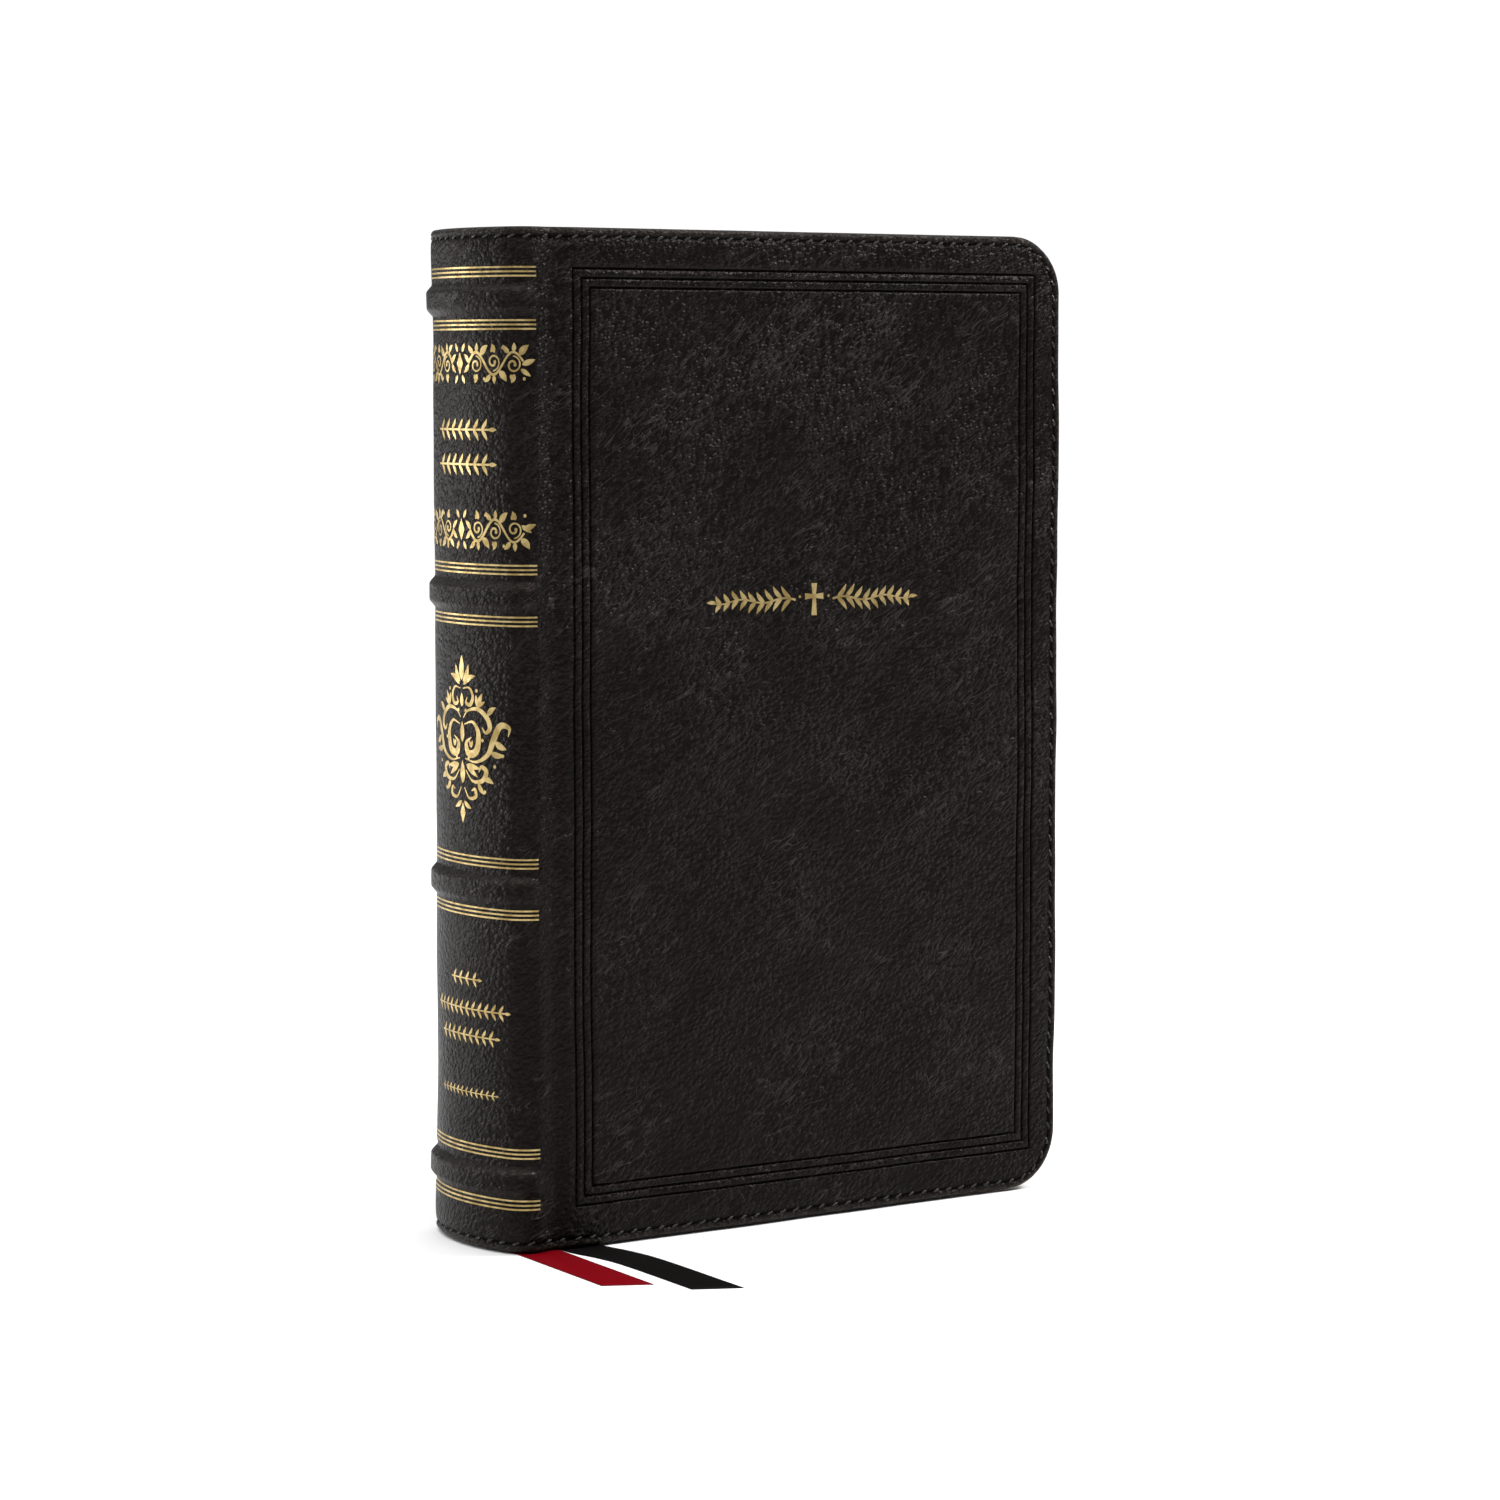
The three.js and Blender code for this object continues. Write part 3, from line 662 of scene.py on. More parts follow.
def match_normals_at_the_middle(skin, rows, zs):
    """Both halves of the skin get the same normals where they meet, so that no line shows there."""
    step = 0.4
    across = on_case(FRONT, np.full(rows, step), zs) - on_case(BACK, np.full(rows, step), zs)
    up = on_case(FRONT, np.zeros(rows), zs + 0.1) - on_case(FRONT, np.zeros(rows), zs - 0.1)
    normals = np.cross(across, up)
    normals = normals / np.linalg.norm(normals, axis=1)[:, None]
    normals = normals * np.sign(-normals[:, :1])
    every = np.zeros((len(skin.data.vertices), 3))
    every[:rows] = normals
    skin.data.normals_split_custom_set_from_vertices(every.tolist())


# ---- Sewing ----
def stitch(centre, along, out, length, radius):
    """One thread end to end: thick in the middle, a little askew, and dipping in at both ends."""
    side = np.cross(along, out)
    along = along * math.cos(STITCH_SLANT) + side * math.sin(STITCH_SLANT)
    side = np.cross(along, out)
    points = []
    rings, sides = 7, 8
    for r in range(rings):
        t = -1 + 2 * r / (rings - 1)
        size = radius * math.sqrt(max(1 - (abs(t) ** 3), 0.02))
        middle = centre + along * (t * length / 2) + out * (0.14 - 0.42 * t ** 4)
        for s in range(sides):
            angle = TAU * s / sides
            points.append(middle + side * math.cos(angle) * size + out * math.sin(angle) * size * 0.8)
    return points, tube_faces(rings, sides)


def needle_hole_shade(centre, along, out):
    """A dimple between two stitches, as a shallow cap, painted near black as the shade in a needle hole."""
    side = np.cross(along, out)
    points = [centre + out * 0.09]
    for radius, height in ((0.24, 0.075), (0.42, -0.05)):
        for s in range(8):
            angle = TAU * s / 8
            round_it = along * math.cos(angle) + side * 0.8 * math.sin(angle)
            points.append(centre + round_it * radius + out * height)
    faces = [(0, 1 + (s + 1) % 8, 1 + s) for s in range(8)]
    faces += [(1 + s, 1 + (s + 1) % 8, 9 + (s + 1) % 8, 9 + s) for s in range(8)]
    return points, faces


def sew(name, places, body=None):
    """A row of stitches. Each place is a (centre, along, out) triple."""
    points, faces, flat, indices = [], [], [], []
    for k, (centre, along, out) in enumerate(places):
        parts = [stitch(centre, along, out, STITCH_PITCH * 0.62, 0.3)]
        if k:
            before = places[k - 1]
            # Between stitches, a dimple painted near black as the shade in a needle hole.
            parts.append(needle_hole_shade((centre + before[0]) / 2, along, out))
        for index, (more, ring) in enumerate(parts):
            faces += [tuple(v + len(points) for v in f) for f in ring]
            indices += [index] * len(ring)
            points += more
            flat += [((p - centre) @ along + k * 5.0, (p - centre) @ np.cross(along, out), 0) for p in more]
    piece = make(name, points, faces, [THREAD, HOLE_SHADE], body=body, flat=flat, indices=indices)
    return piece


def cover_seam():
    """Places in (x, z) along a cover's three free edges, with the direction of the seam at each."""
    inset = STITCH_INSET
    radius = CORNER_RADIUS - inset
    cx = FORE_EDGE - CORNER_RADIUS
    low, high = CASE_TAIL + inset, CASE_HEAD - inset
    start = HINGE - 0.8
    straight = cx - start
    quarter = radius * math.pi / 2
    side = high - low - 2 * radius
    total = 2 * straight + 2 * quarter + side
    count = round(total / STITCH_PITCH)
    for k in range(count):
        s = (k + 0.5) * total / count
        if s < straight:
            yield start + s, low, 1.0, 0.0
        elif s < straight + quarter:
            a = (s - straight) / radius
            yield cx + radius * math.sin(a), low + radius * (1 - math.cos(a)), math.cos(a), math.sin(a)
        elif s < straight + quarter + side:
            yield cx + radius, low + radius + s - straight - quarter, 0.0, 1.0
        elif s < total - straight:
            a = (s - straight - quarter - side) / radius
            yield cx + radius * math.cos(a), high - radius * (1 - math.sin(a)), -math.sin(a), math.cos(a)
        else:
            yield cx - (s - (total - straight)), high, -1.0, 0.0


def sew_cover(side):
    places = []
    for x, z, dx, dz in cover_seam():
        centre = on_case(side, np.array(girth_at(x)), np.array(z))
        places.append((centre, np.array([dx, 0, dz]), np.array([0, float(side), 0])))
    thread = sew(f"{WORDS[side]}_edge_stitches", places)
    bend_with_cover(thread)
    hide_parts(f"{WORDS[side]}_edge_thread")


def sew_spine(name, z):
    places = []
    reach = SHOULDER_END - 1.6
    count = round(2 * reach / STITCH_PITCH)
    for k in range(count):
        a = -reach + (k + 0.5) * 2 * reach / count
        side = FRONT if a >= 0 else BACK
        _, _, nx, ny = girth(side, abs(a))
        out = np.array([float(nx), float(ny), 0])
        centre = on_case(side, np.array(abs(a)), np.array(z))
        places.append((centre, np.cross(out, [0, 0, 1.0]), out))
    thread = sew(f"spine_{name}_stitches", places, ROOT)
    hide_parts(f"spine_{name}_thread")


# ---- Gold stamping ----
class Stamp:
    """Gold strokes in (a, z): a is the distance round from the middle of the spine, positive to the front."""

    def __init__(self):
        self.points, self.faces, self.flat = [], [], []

    def stroke(self, path, widths):
        path = np.asarray(path, float)
        widths = np.broadcast_to(widths, len(path))
        ahead = np.gradient(path, axis=0)
        ahead = ahead / np.maximum(np.linalg.norm(ahead, axis=1)[:, None], 1e-9)
        across = np.stack([-ahead[:, 1], ahead[:, 0]], -1)
        first = len(self.points)
        for sign in (1, 0, -1):
            self.points += list(path + across * widths[:, None] / 2 * sign)
        n = len(path)
        for row in (0, 1):
            for k in range(n - 1):
                a = first + row * n + k
                self.faces.append((a, a + n, a + n + 1, a + 1))

    def leaf(self, a, z, angle, length, width, bow=0.0):
        """A pointed leaf that starts at (a, z)."""
        t = np.linspace(0, 1, 9)
        along = np.array([math.cos(angle), math.sin(angle)])
        side = np.array([-along[1], along[0]])
        path = np.outer(t * length, along) + np.outer(bow * np.sin(math.pi * t), side) + [a, z]
        self.stroke(path, 0.05 + width * np.sin(math.pi * t ** 0.8) ** 0.9)

    def curl(self, a, z, radius, start, turns, width, inner=0.25):
        """A spiral that winds in from its outside end; turns is negative for a clockwise one."""
        t = np.linspace(0, 1, 26)
        angle = start + TAU * turns * t
        r = radius * (1 - (1 - inner) * t)
        path = np.stack([a + r * np.cos(angle), z + r * np.sin(angle)], -1)
        self.stroke(path, width * (0.7 + 0.5 * t))
        self.dot(path[-1][0], path[-1][1], width * 0.85)

    def dot(self, a, z, radius):
        t = np.linspace(-1, 1, 7)
        self.stroke(np.stack([a + radius * t, z + 0 * t], -1), 0.04 + 2 * radius * np.sqrt(1 - t ** 2))

    def lozenge(self, a, z, width, height):
        t = np.linspace(-1, 1, 5)
        self.stroke(np.stack([a + width / 2 * t, z + 0 * t], -1), 0.04 + height * (1 - np.abs(t)))

    def bar(self, a1, z1, a2, z2, w1, w2):
        t = np.linspace(0, 1, 6)
        path = np.outer(1 - t, [a1, z1]) + np.outer(t, [a2, z2])
        self.stroke(path, w1 + (w2 - w1) * t)

    def sweep(self, a, z, side, points, width, tail=0.25):
        """A smooth stroke through points measured from (a, z), thickest a little after its middle."""
        path, _ = through([(side * x, y) for x, y in points], 9 * (len(points) - 1))
        t = np.linspace(0, 1, len(path))
        self.stroke(path + [a, z], tail + (width - tail) * np.sin(math.pi * t ** 1.2) ** 1.3)

    def fan(self, a, z, angles, length, width):
        """Leaves that spread from one point."""
        for k, angle in enumerate(angles):
            share = 1 - 0.22 * abs(2 * k / max(len(angles) - 1, 1) - 1)
            self.leaf(a, z, angle, length * share, width * share)

    def press(self, name, middle=0.0, lift=0.05, body=None):
        flat = np.array(self.points) + [middle, 0]
        front = flat[:, 0] >= 0
        u = np.abs(flat[:, 0])
        on_front, on_back = (on_case(side, u, flat[:, 1], lift) for side in (FRONT, BACK))
        placed = np.where(front[:, None], on_front, on_back)
        faces = [f[::-1] for f in self.faces]
        wide = np.stack([flat[:, 0], flat[:, 1], 0 * u], -1)
        piece = make(name, placed, faces, [FOIL], body=body, flat=wide)
        return piece


def line_stamp(side):
    """The three gold lines above and below each band, from the middle of the spine round to one side."""
    stamp = Stamp()
    reach = np.linspace(0, SHOULDER_END - 1.3, 36) * (1 if side == FRONT else -1)
    for lines in LINE_HEIGHTS:
        for k in (-1, 0, 1):
            stamp.stroke(np.stack([reach, lines + k * 0.93 + 0 * reach], -1), 0.38)
    lines = stamp.press(f"spine_gold_lines_{WORDS[side]}")
    bend_with_cover(lines)


def scroll_stamp(stamp, z, up):
    """A vine of alternating curls and leaves either side of a lozenge; up is -1 to turn it over."""
    stamp.lozenge(0, z, 2.4, 4.8)
    for s in (1, -1):
        for v in (1, -1):
            stamp.leaf(s * 0.9, z + v * 2.5, v * (math.pi / 2 - s * 0.5), 2.1, 0.9)
            stamp.leaf(s * 3.5, z + v * 0.1, (math.pi if s > 0 else 0) - s * v * 0.8, 2.6, 1.0, -s * v * 0.2)
        a = np.linspace(3.3, 18.9, 60)
        wave = 2.4 * np.sin(TAU * (a - 3.3) / 10.6) * up
        stamp.stroke(np.stack([s * a, z + wave], -1), 0.36 + 0.34 * np.linspace(1, 0.3, 60))
        for k, middle in enumerate((5.9, 11.2, 16.5)):
            way = up * (1 if k % 2 == 0 else -1)
            lean = lambda angle: way * (math.pi / 2 - s * angle)
            stamp.curl(s * middle, z - way * 0.3, 1.9, lean(0), -s * way * 1.25, 0.46)
            stamp.leaf(s * (middle + 1.6), z + way * 1.7, lean(0.75), 3.0, 1.5, 0.25)
            stamp.leaf(s * (middle + 0.2), z + way * 2.5, lean(0.05), 1.9, 1.0)
            stamp.leaf(s * (middle - 0.9), z + way * 2.3, lean(-0.8), 2.4, 1.1, 0.2)
            stamp.leaf(s * (middle + 0.4), z - way * 2.3, -lean(-0.4), 2.1, 1.1)
            stamp.leaf(s * (middle - 0.7), z - way * 2.4, -lean(0.6), 1.8, 0.9)
            stamp.dot(s * (middle + 2.6), z - way * 3.3, 0.36)
        stamp.leaf(s * 18.6, z - up * 0.3, (0.35 if s > 0 else math.pi - 0.35), 3.3, 1.2)
        stamp.leaf(s * 18.3, z - up * 1.2, (-0.6 if s > 0 else math.pi + 0.6), 2.8, 1.0)


def medallion_stamp(stamp, z):
    """A lozenge filled with mirrored scrolls and leaves."""
    first = len(stamp.points)
    for height, length, width in ((13.0, 5.4, 1.7), (7.2, 3.0, 1.2), (-0.6, 4.6, 1.4), (-9.6, 5.0, 1.7)):
        stamp.leaf(0, z + height, math.pi / 2, length, width)
    stamp.lozenge(0, z - 16.0, 1.9, 4.6)
    for s in (1, -1):
        lean = lambda angle: angle if s > 0 else math.pi - angle
        sweep = lambda path, width: stamp.sweep(0, z, s, path, width)
        stamp.leaf(s * 0.5, z + 12.7, lean(1.12), 4.2, 1.2, -s * 0.4)
        stamp.leaf(s * 0.7, z + 12.0, lean(0.5), 4.4, 1.3, s * 0.5)
        sweep([(0.5, 11.2), (2.6, 11.4), (3.7, 9.6), (2.9, 7.8), (1.5, 8.1), (1.9, 9.4)], 0.9)
        sweep([(0.5, 4.8), (2.0, 6.4), (5.2, 6.9), (7.8, 5.2), (8.6, 3.0), (7.4, 1.9), (6.4, 3.0)], 1.2)
        stamp.fan(s * 5.0, z + 7.4, [lean(1.7), lean(1.1), lean(0.5)], 3.4, 1.1)
        stamp.leaf(s * 8.0, z + 5.6, lean(0.7), 3.0, 1.2, s * 0.3)
        sweep([(0.8, 3.4), (3.6, 4.0), (5.3, 1.6), (4.7, -2.2), (2.2, -2.9), (1.4, -0.7), (3.1, 0.7)], 1.7)
        stamp.fan(s * 3.0, z - 1.6, [lean(1.9), lean(1.3)], 2.2, 0.8)
        sweep([(1.0, -4.1), (4.6, -4.6), (8.0, -2.8), (9.6, 0.6), (11.4, 3.6), (13.6, 3.2), (13.4, 1.4)],
              1.5)
        stamp.leaf(s * 10.0, z + 0.2, lean(-0.5), 3.4, 1.4, -s * 0.3)
        stamp.leaf(s * 8.8, z - 2.2, lean(-0.15), 3.6, 1.3, -s * 0.4)
        stamp.fan(s * 1.4, z - 5.4, [lean(-0.15), lean(-0.6)], 5.8, 1.5)
        sweep([(1.2, -6.6), (3.4, -8.8), (6.4, -8.6), (7.6, -6.6), (6.2, -5.6), (5.4, -6.8)], 1.2)
        stamp.leaf(s * 6.8, z - 8.2, lean(-0.3), 2.9, 1.2, s * 0.3)
        stamp.leaf(s * 5.2, z - 9.2, lean(-0.9), 3.0, 1.1, -s * 0.2)
        sweep([(0.6, -10.4), (2.2, -12.6), (4.4, -12.2), (4.2, -10.6), (3.1, -11.0)], 0.9)
        stamp.leaf(s * 0.5, z - 13.4, lean(-0.55), 2.9, 1.0, -s * 0.2)
        for a, height in ((6.5, 0.2), (11.9, -2.9), (9.9, -5.3), (2.2, -4.0), (1.3, 6.4), (7.2, -11.0),
                          (4.9, 10.9)):
            stamp.dot(s * a, z + height, 0.38)
    stamp.points[first:] = [point * (MEDALLION_STRETCH, 1) for point in stamp.points[first:]]


def row_stamp(stamp, z, half_width, size, count):
    """A straight sprig with paired leaves, in place of a line of words."""
    stem = np.linspace(-half_width, half_width, 30)
    stamp.stroke(np.stack([stem, z + 0 * stem], -1), size * 0.1)
    for k in range(count):
        a = (half_width - size * 0.5) * (2 * k / (count - 1) - 1)
        for way in (1, -1):
            stamp.leaf(a - size * 0.2, z + way * size * 0.04, way * 0.9, size * 0.62, size * 0.2,
                       -way * size * 0.05)
    stamp.leaf(half_width - size * 0.2, z, 0, size * 0.5, size * 0.2)


def spine_ornaments():
    stamp = Stamp()
    upper = (BAND_HEIGHTS[0] + BAND_HEIGHTS[1]) / 2
    scroll_stamp(stamp, upper + 18.2, 1)
    scroll_stamp(stamp, upper - 17.6, -1)
    row_stamp(stamp, upper + 4.0, 10.6, 4.5, 7)
    row_stamp(stamp, upper - 3.5, 10.6, 4.5, 7)
    medallion_stamp(stamp, (BAND_HEIGHTS[1] + BAND_HEIGHTS[2]) / 2 + 0.35)
    lower = (BAND_HEIGHTS[2] + BAND_HEIGHTS[3]) / 2
    row_stamp(stamp, lower + 11.6, 5.6, 3.2, 4)
    row_stamp(stamp, lower + 5.0, 14.0, 3.4, 12)
    row_stamp(stamp, lower - 0.9, 11.0, 3.4, 9)
    row_stamp(stamp, lower - 13.4, 11.0, 2.1, 12)
    stamp.press("spine_gold_ornaments", middle=ORNAMENT_MIDDLE, body=ROOT)


def cover_ornament():
    """A plain cross between two leafy sprigs, in the middle of the front cover's upper part."""
    stamp = Stamp()
    z = COVER_ORNAMENT_HEIGHT
    for dz, length in ((1, 2.9), (-1, 4.3)):
        stamp.bar(0, z + 0.7, 0, z + 0.7 + dz * length, 0.85, 1.5)
    for da in (1, -1):
        stamp.bar(0, z + 0.7, da * 2.5, z + 0.7, 0.8, 1.4)
        stem = np.linspace(5.0, 27.0, 50)
        sway = 0.45 * np.sin((stem - 5.0) * 0.55)
        stamp.stroke(np.stack([da * stem, z + sway], -1), np.linspace(0.5, 0.28, 50))
        for k, along in enumerate(np.linspace(6.2, 24.6, 9)):
            start = z + 0.45 * math.sin((along - 5.0) * 0.55)
            for way in (1, -1):
                angle = way * 0.85 if da > 0 else math.pi - way * 0.85
                stamp.leaf(da * along, start, angle, 3.9 - 0.18 * k, 1.0, -way * da * 0.3)
        stamp.leaf(da * 26.2, z, 0.0 if da > 0 else math.pi, 2.4, 0.8)
        stamp.dot(da * 3.9, z + 0.7, 0.32)
    stamp.press("front_gold_ornament", middle=girth_at(COVER_ORNAMENT_X), body="front_cover")


# ---- Pages ----
PAGE_SPINE_DEPTH = 2.9
PAGE_CORNER = 10.0
MIDDLE_SECTIONS = (6, 7)
LEAF_GAP = 0.03
PAGE_REACH, HOLLOW_DEPTH = 71.4, 2.0
OUTER_SECTION, OUTER_LEAF = 16.3, 16.4
SWELL_FROM, SWELL_TO = 27, 45
FROM_PAGE_END = (0.6, 1.6, 3, 5)
THIN_FOLD_COLUMNS, THICK_FOLD_COLUMNS = 37, 9


def page_spine(y):
    """Where the rounded spine of the pages is, at distance y from the middle of the book."""
    y = min(abs(y), SHOULDER_Y + (SHOULDER_RADIUS - PAGE_SPINE_DEPTH) * 0.97)
    if y < (SPINE_RADIUS - PAGE_SPINE_DEPTH) * math.sin(BLEND_ANGLE):
        return CENTRE_X - math.sqrt((SPINE_RADIUS - PAGE_SPINE_DEPTH) ** 2 - y * y)
    return SHOULDER_X - math.sqrt((SHOULDER_RADIUS - PAGE_SPINE_DEPTH) ** 2 - (y - SHOULDER_Y) ** 2)


def slab(name, y1, y2, starts, reaches, tail, head, radius, materials, layers=1, swell=0.0):
    """A closed stack of leaves between y1 and y2, with edges of their own material.
    starts and reaches are the spine-side and fore-edge x at y1 and at y2. Beyond the ribbon markers, the side
    at y2 stands out by swell."""
    rows = samples(tail, head, 7.0)
    near_ends = {place for off in FROM_PAGE_END for place in (tail + off, head - off)}
    rows = np.array(sorted(set(rows) | near_ends))
    fold = np.linspace(0, 0.09, THIN_FOLD_COLUMNS if layers == 1 else THICK_FOLD_COLUMNS)
    share = np.concatenate([fold, np.linspace(0.1, 0.22, 8)[1:], np.linspace(0.22, 1, 22)[1:]])
    columns = len(share)
    points, flat = [], []
    for k in range(layers + 1):
        t = k / layers
        y, start, reach = (pair[0] + (pair[1] - pair[0]) * t for pair in ((y1, y2), starts, reaches))
        x, z = np.meshgrid(start + share * (reach - start), rows, indexing="ij")
        x = warped(x, z, reach, tail, head, radius, 6.0)
        swollen = math.copysign(swell, y2 - y1) * t * smooth(SWELL_FROM, SWELL_TO, x - start)
        points.append(np.stack([x, y + swollen, z], -1).reshape(-1, 3))
        flat.append(np.stack([x, z, y + 0 * x], -1).reshape(-1, 3))
    count = columns * len(rows)
    n = len(rows)
    faces = grid_faces(columns, n, flip=y2 < y1)
    faces += grid_faces(columns, n, flip=y2 > y1, first=layers * count)
    indices = [0] * len(faces)
    border = grid_border(columns, n)
    for k in range(layers):
        for a, b in zip(border, border[1:] + border[:1]):
            quad = (a + k * count, a + (k + 1) * count, b + (k + 1) * count, b + k * count)
            faces.append(quad if y2 > y1 else quad[::-1])
            indices.append(1)
    piece = make(name, np.concatenate(points), faces, materials, indices=indices, flat=np.concatenate(flat))
    piece.data.set_sharp_from_angle(angle=math.radians(50))
    return piece


def turn_from_the_spine(piece):
    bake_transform(piece)


def page_sections():
    for number in range(1, 13):
        node = f"page_section_{number}"
        side = FRONT if span(node)[1][1] < 0 else BACK
        outer, inner = depths(node, side)
        starts = page_spine(outer), page_spine(inner)
        hollow = [PAGE_REACH - HOLLOW_DEPTH * (1 - (y / OUTER_SECTION) ** 2) for y in (outer, inner)]
        swell = abs(inner) - LEAF_GAP if number in MIDDLE_SECTIONS else 0.0
        piece = slab(f"pages_{number:02d}", outer, inner, starts, hollow, PAGE_TAIL, PAGE_HEAD, PAGE_CORNER,
                     [PAPER, GILT], layers=2, swell=swell)
        if node in frame["bodies"]:
            turn_from_the_spine(piece)
        else:
            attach(piece, ROOT)
        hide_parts(node, *(["sewn_page_margin"] if number == 6 else []))


def single_leaves():
    for side, word in WORDS.items():
        for node, materials in ((f"{word}_flyleaf", [ENDPAPER, ENDPAPER]), (f"{word}_leaf_1", [PAPER, GILT]),
                                (f"{word}_leaf_2", [PAPER, GILT])):
            outer, inner = depths(node, side)
            start = page_spine(OUTER_LEAF) + 1.2
            reach = span(node)[1][0]
            leaf = slab(node + "_sheet", outer, inner, (start, start), (reach, reach), PAGE_TAIL, PAGE_HEAD,
                        PAGE_CORNER, materials)
            turn_from_the_spine(leaf)
            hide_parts(node)


def endpaper_hinges():
    """The glued half of each endpaper runs on over the hinge to the edge of the pages."""
    for side, word in WORDS.items():
        node = f"{word}_pastedown"
        low, high = span(node)
        outer, inner = depths(node, side)
        start = page_spine(OUTER_LEAF) + 1.0
        sheet = slab(f"{word}_endpaper", outer, inner, (start, start), (high[0], high[0]), low[2], high[2],
                     CORNER_RADIUS - 3, [ENDPAPER, ENDPAPER])
        turn_from_the_spine(sheet)
        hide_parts(node)


def end_bands():
    material = woven_band_material()
    radius = SPINE_RADIUS - PAGE_SPINE_DEPTH - 1.1
    for name in ("head_band", "tail_band"):
        low, high = span(name)
        z = (low[2] + high[2]) / 2
        reach = BLEND_ANGLE * 1.02
        steps, sides = 90, 16
        points, flat = [], []
        for k in range(steps + 1):
            angle = -reach + 2 * reach * k / steps
            out = np.array([-math.cos(angle), math.sin(angle), 0])
            middle = np.array([CENTRE_X, 0, z]) + out * radius
            for s in range(sides):
                a = TAU * s / sides
                twist = 1.0 + 0.05 * math.cos(k * TAU / 2.0 + a)
                points.append(middle + out * math.cos(a) * twist + np.array([0, 0, math.sin(a) * twist]))
                flat.append((k * 2 * reach * radius / steps, a, 0))
        faces = tube_faces(steps + 1, sides)
        band = make(f"{name}_cord", points, faces, [material], body=ROOT, flat=flat)
        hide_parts(name)


# ---- Ribbon markers ----
RIBBON_WIDTH, RIBBON_THICKNESS = 10.0, 0.18
RIBBON_BEND, RIBBON_SLANT = 4.0, 4.6
RIBBONS = {
    "red": (-0.12, [(-64.4, 2), (-64.4, -8), (-64.65, -20), (-65.1, -36), (-65.7, -56.2)]),
    "black": (0.12, [(-53.8, 2), (-53.9, -8), (-54.1, -20), (-52.1, -29), (-51.1, -40), (-51.7, -69.5)]),
}


def through(points, count):
    """A smooth curve through points, as count + 1 points and its directions."""
    p = np.array([2 * np.array(points[0]) - points[1], *points, 2 * np.array(points[-1]) - points[-2]], float)
    places, ways = [], []
    for k in range(count + 1):
        t = k / count * (len(points) - 1)
        i = min(int(t), len(points) - 2)
        f = t - i
        a, b, c, d = p[i:i + 4]
        places.append(0.5 * (2 * b + (c - a) * f + (2 * a - 5 * b + 4 * c - d) * f ** 2
                             + (3 * b - a - 3 * c + d) * f ** 3))
        way = 0.5 * ((c - a) + 2 * (2 * a - 5 * b + 4 * c - d) * f + 3 * (3 * b - a - 3 * c + d) * f ** 2)
        ways.append(way / np.linalg.norm(way))
    return np.array(places), np.array(ways)


def ribbon(colour, material):
    y0, plan = RIBBONS[colour]
    top = PAGE_HEAD - 0.5
    bend_z = RIBBON_BEND + RIBBON_THICKNESS / 2
    centre, normal, across = [], [], []
    for z in np.linspace(top, bend_z, 60):
        centre.append((plan[0][0], y0, z))
        normal.append((0, 1, 0))
        across.append((1, 0, 0))
    for a in np.linspace(0, math.pi / 2, 10)[1:]:
        centre.append((plan[0][0], y0 - RIBBON_BEND * (1 - math.cos(a)), bend_z - RIBBON_BEND * math.sin(a)))
        normal.append((0, math.cos(a), -math.sin(a)))
        across.append((1, 0, 0))
    floor = [(x, y) for x, y in plan if y < y0 - RIBBON_BEND]
    floor = [(plan[0][0], y0 - RIBBON_BEND)] + floor
    places, ways = through(floor, 70)
    for k, ((x, y), (wx, wy)) in enumerate(zip(places, ways)):
        if k:
            centre.append((x, y, RIBBON_THICKNESS / 2 + 0.02))
            normal.append((0, 0, -1))
            across.append((-wy, wx, 0))
    centre, normal, across = (np.array(v, float) for v in (centre, normal, across))
    length = np.concatenate([[0], np.cumsum(np.linalg.norm(np.diff(centre, axis=0), axis=1))])
    shares = np.array([-1, -0.97, -0.9, -0.5, 0, 0.5, 0.9, 0.97, 1])
    half = RIBBON_WIDTH / 2
    steps, width = len(centre), len(shares)
    points, flat, faces = [], [], []
    for face in (1, -1):
        for i in range(steps):
            cut = max(0, 1 - (length[-1] - length[i]) / 12)
            for s in shares:
                ahead = centre[i] - centre[i - 1] if i else centre[1] - centre[0]
                ahead = ahead / np.linalg.norm(ahead)
                skew = s * RIBBON_SLANT / 2 * cut
                thick = RIBBON_THICKNESS / 2 * (0.75 if abs(s) == 1 else 1)
                points.append(centre[i] + across[i] * s * half + ahead * skew + normal[i] * face * thick)
                flat.append((s * half, length[i] + skew, 0))
    count = steps * width
    faces += grid_faces(steps, width) + grid_faces(steps, width, flip=True, first=count)
    border = grid_border(steps, width)
    for a, b in zip(border, border[1:] + border[:1]):
        faces.append((a, a + count, b + count, b))
    piece = make(f"ribbon_marker_{colour}", points, faces, [material], body=ROOT, flat=flat)
    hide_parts(f"ribbon_{colour}")


# ---- Inside pieces that keep their CAD shape ----
def finish_inside_pieces():
    finishes = {"front_board": BOARD, "back_board": BOARD, "spine_inlay": BOARD, "spine_liner": KRAFT,
                "spine_gauze": GAUZE}
    finishes.update({f"raised_band_{k}": BOARD for k in range(1, 5)})
    for name, material in finishes.items():
        for holder in frame["nodes"][name].material_slots:
            holder.material = material


# ---- Studio ----
CAMERA_PLACE = (-522.6, -790.85, 192.1)
CAMERA_AZIMUTH, CAMERA_ELEVATION = -33.586, 5.212
CAMERA_LENS = 100.16
CARD_AZIMUTH, CARD_DISTANCE, CARD_HALF_WIDTH, CARD_HEIGHT = 36, 900, 750, 330
FLOOR_HALF = 9000


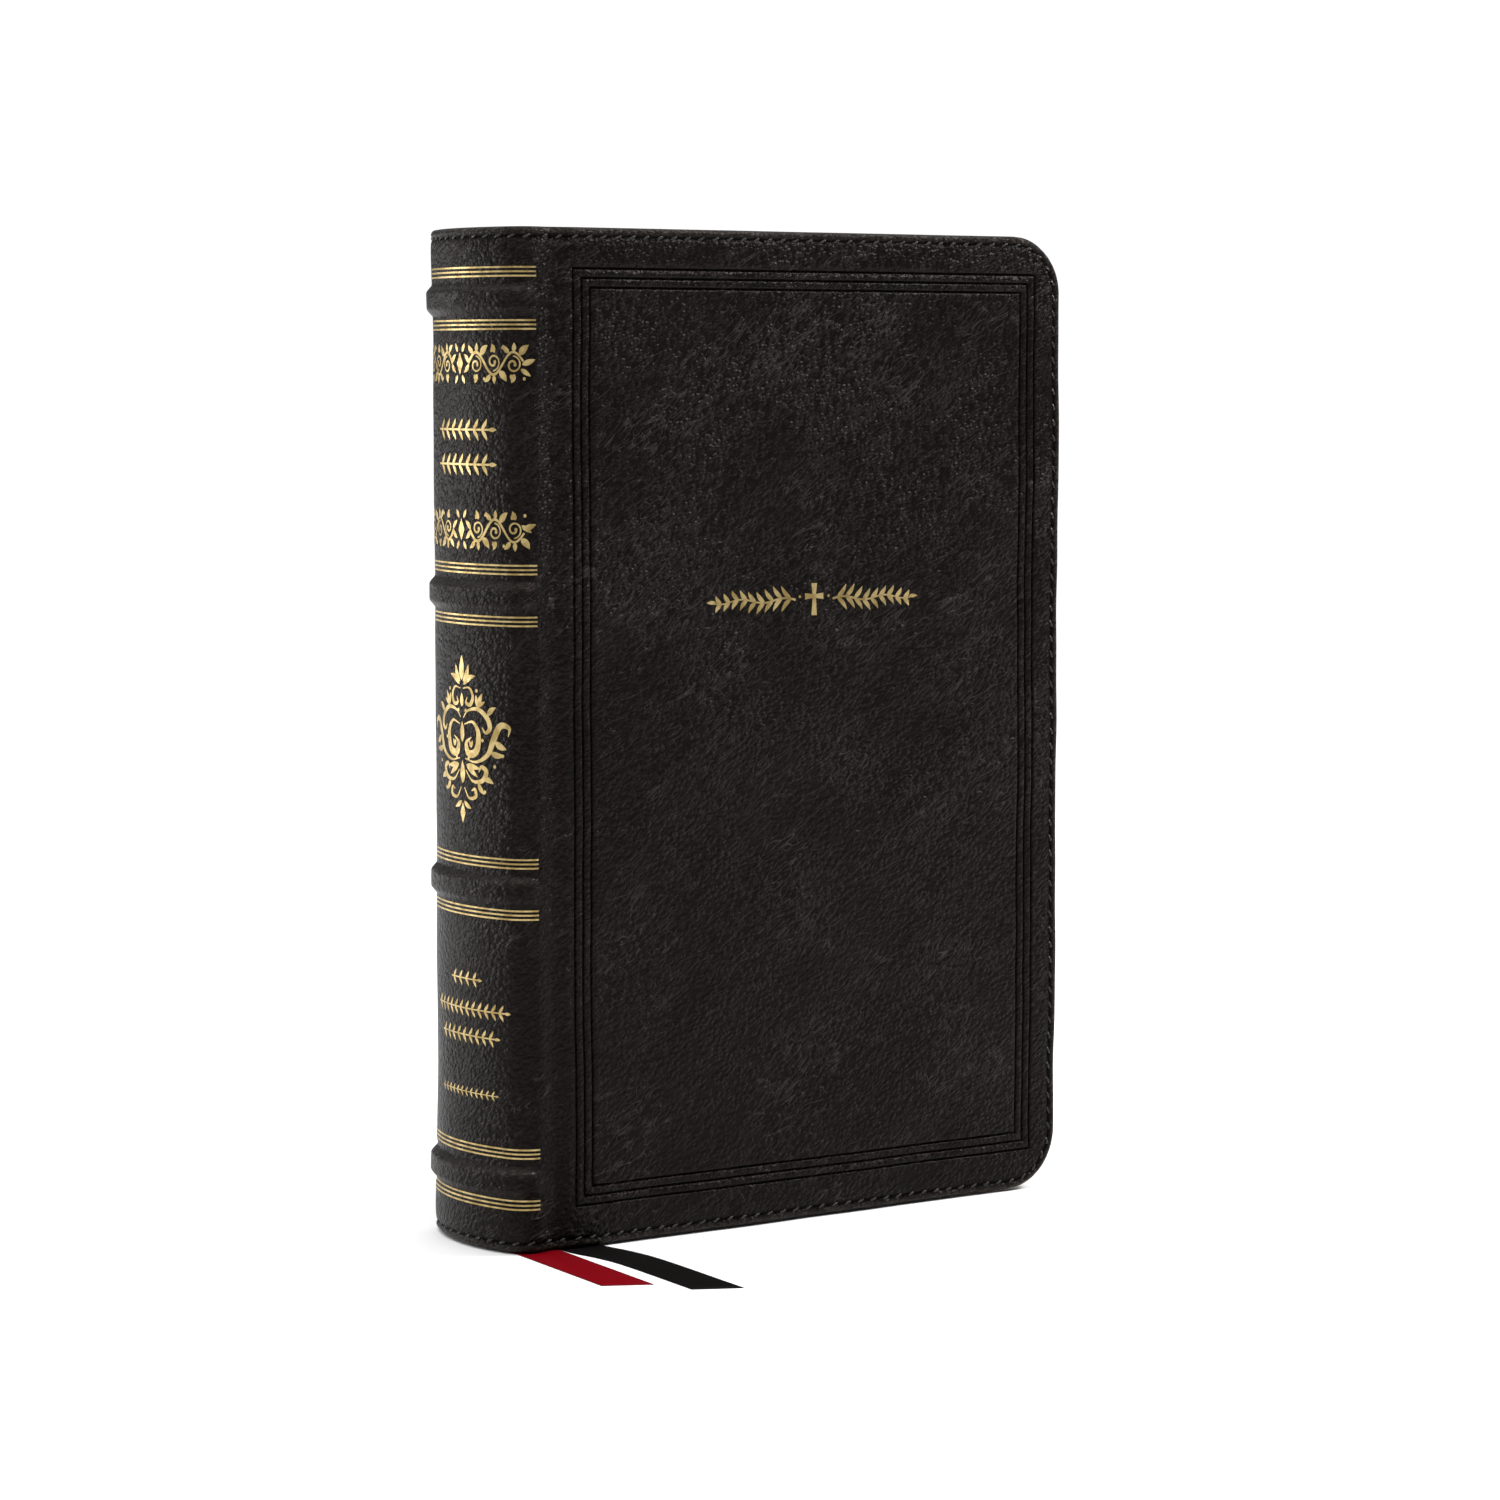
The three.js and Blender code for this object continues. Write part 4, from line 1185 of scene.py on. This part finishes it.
def direction(azimuth, elevation):
    """From the object towards something seen at this azimuth and elevation."""
    a, e = math.radians(azimuth), math.radians(elevation)
    return Vector((math.sin(a) * math.cos(e), -math.cos(a) * math.cos(e), math.sin(e)))


def camera():
    lens = bpy.data.cameras.new("camera")
    lens.lens, lens.sensor_width = CAMERA_LENS, 36
    lens.clip_start, lens.clip_end = 0.01, 20
    eye = bpy.data.objects.new("camera", lens)
    eye.location = Vector(CAMERA_PLACE) * MM
    eye.rotation_euler = direction(CAMERA_AZIMUTH, CAMERA_ELEVATION).to_track_quat("Z", "Y").to_euler()
    bpy.context.scene.collection.objects.link(eye)
    bpy.context.scene.camera = eye


def softbox(name, azimuth, elevation, distance, size, power):
    lamp = bpy.data.lights.new(name, "AREA")
    lamp.shape, lamp.size, lamp.size_y, lamp.energy = "RECTANGLE", size[0], size[1], power
    holder = bpy.data.objects.new(name, lamp)
    centre = Vector((0, 0, 0.1))
    away = direction(azimuth, elevation)
    holder.location = centre + away * distance
    holder.rotation_euler = away.to_track_quat("Z", "Y").to_euler()
    bpy.context.scene.collection.objects.link(holder)


def backdrop_and_fill():
    """A white backdrop, and a much weaker light from all sides."""
    world = bpy.data.worlds.new("studio")
    world.use_nodes = True
    tree = world.node_tree
    fill = tree.nodes["Background"]
    fill.inputs["Color"].default_value = (1, 1, 1, 1)
    fill.inputs["Strength"].default_value = 0.2
    backdrop = tree.nodes.new("ShaderNodeBackground")
    backdrop.inputs["Strength"].default_value = 1.05
    backdrop.inputs["Color"].default_value = (1, 1, 1, 1)
    seen = tree.nodes.new("ShaderNodeLightPath").outputs["Is Camera Ray"]
    mix = tree.nodes.new("ShaderNodeMixShader")
    tree.links.new(seen, mix.inputs[0])
    tree.links.new(fill.outputs[0], mix.inputs[1])
    tree.links.new(backdrop.outputs[0], mix.inputs[2])
    tree.links.new(mix.outputs[0], tree.nodes["World Output"].inputs["Surface"])
    return world


def dark_card():
    """A black card in front of the front cover, which only its reflections see."""
    n = Nodes("black_card")
    felt = n.noise(n.place((30, 30, 30), attribute=None), 2)
    black = n.finish(Base_Color=n.mix(felt, (0.004, 0.004, 0.004), (0.008, 0.008, 0.008)), Roughness=0.9)
    middle = direction(CARD_AZIMUTH, 0) * CARD_DISTANCE
    along = Vector((middle.y, -middle.x, 0)).normalized() * CARD_HALF_WIDTH
    up = Vector((0, 0, CARD_HEIGHT))
    corners = [middle - along, middle + along, middle + along + up, middle - along + up]
    card = make("card", [tuple(c) for c in corners], [(0, 1, 2, 3)], [black], smooth_faces=False)
    card.visible_camera = card.visible_diffuse = card.visible_shadow = False


def studio():
    n = Nodes("pale_floor")
    mottle = n.noise(n.place((400, 400, 400), attribute=None), 2)
    pale = n.finish(Base_Color=n.mix(mottle, (0.90, 0.90, 0.90), (0.92, 0.92, 0.92)), Roughness=0.85)
    half = FLOOR_HALF
    corners = [(-half, -half, 0), (half, -half, 0), (half, half, 0), (-half, half, 0)]
    make("floor", corners, [(0, 1, 2, 3)], [pale], smooth_faces=False)
    bpy.context.scene.world = backdrop_and_fill()
    overhead = bpy.data.lights.new("overhead", "SUN")
    overhead.energy, overhead.angle = 3.25, math.radians(110)
    holder = bpy.data.objects.new("overhead", overhead)
    holder.rotation_euler = (math.radians(-8), math.radians(-6), 0)
    bpy.context.scene.collection.objects.link(holder)
    softbox("key", 60, 42, 1.4, (0.35, 0.35), 17)
    softbox("spine_light", -140, 6, 1.2, (0.4, 0.3), 4)
    softbox("fill", -50, 55, 1.5, (0.6, 0.6), 4)
    dark_card()
    bpy.context.scene.view_settings.view_transform = "Standard"


camera()
studio()
for cover_side in (FRONT, BACK):
    leather_half(cover_side)
    sew_cover(cover_side)
    line_stamp(cover_side)
sew_spine("head", CASE_HEAD - STITCH_INSET)
sew_spine("tail", CASE_TAIL + STITCH_INSET)
spine_ornaments()
cover_ornament()
page_sections()
single_leaves()
endpaper_hinges()
end_bands()
ribbon("red", satin_material("red_satin", (0.12, 0.0006, 0.0028), (0.19, 0.0010, 0.0055)))
ribbon("black", satin_material("black_satin", (0.0022, 0.0020, 0.0019), (0.0062, 0.0056, 0.0054)))
finish_inside_pieces()
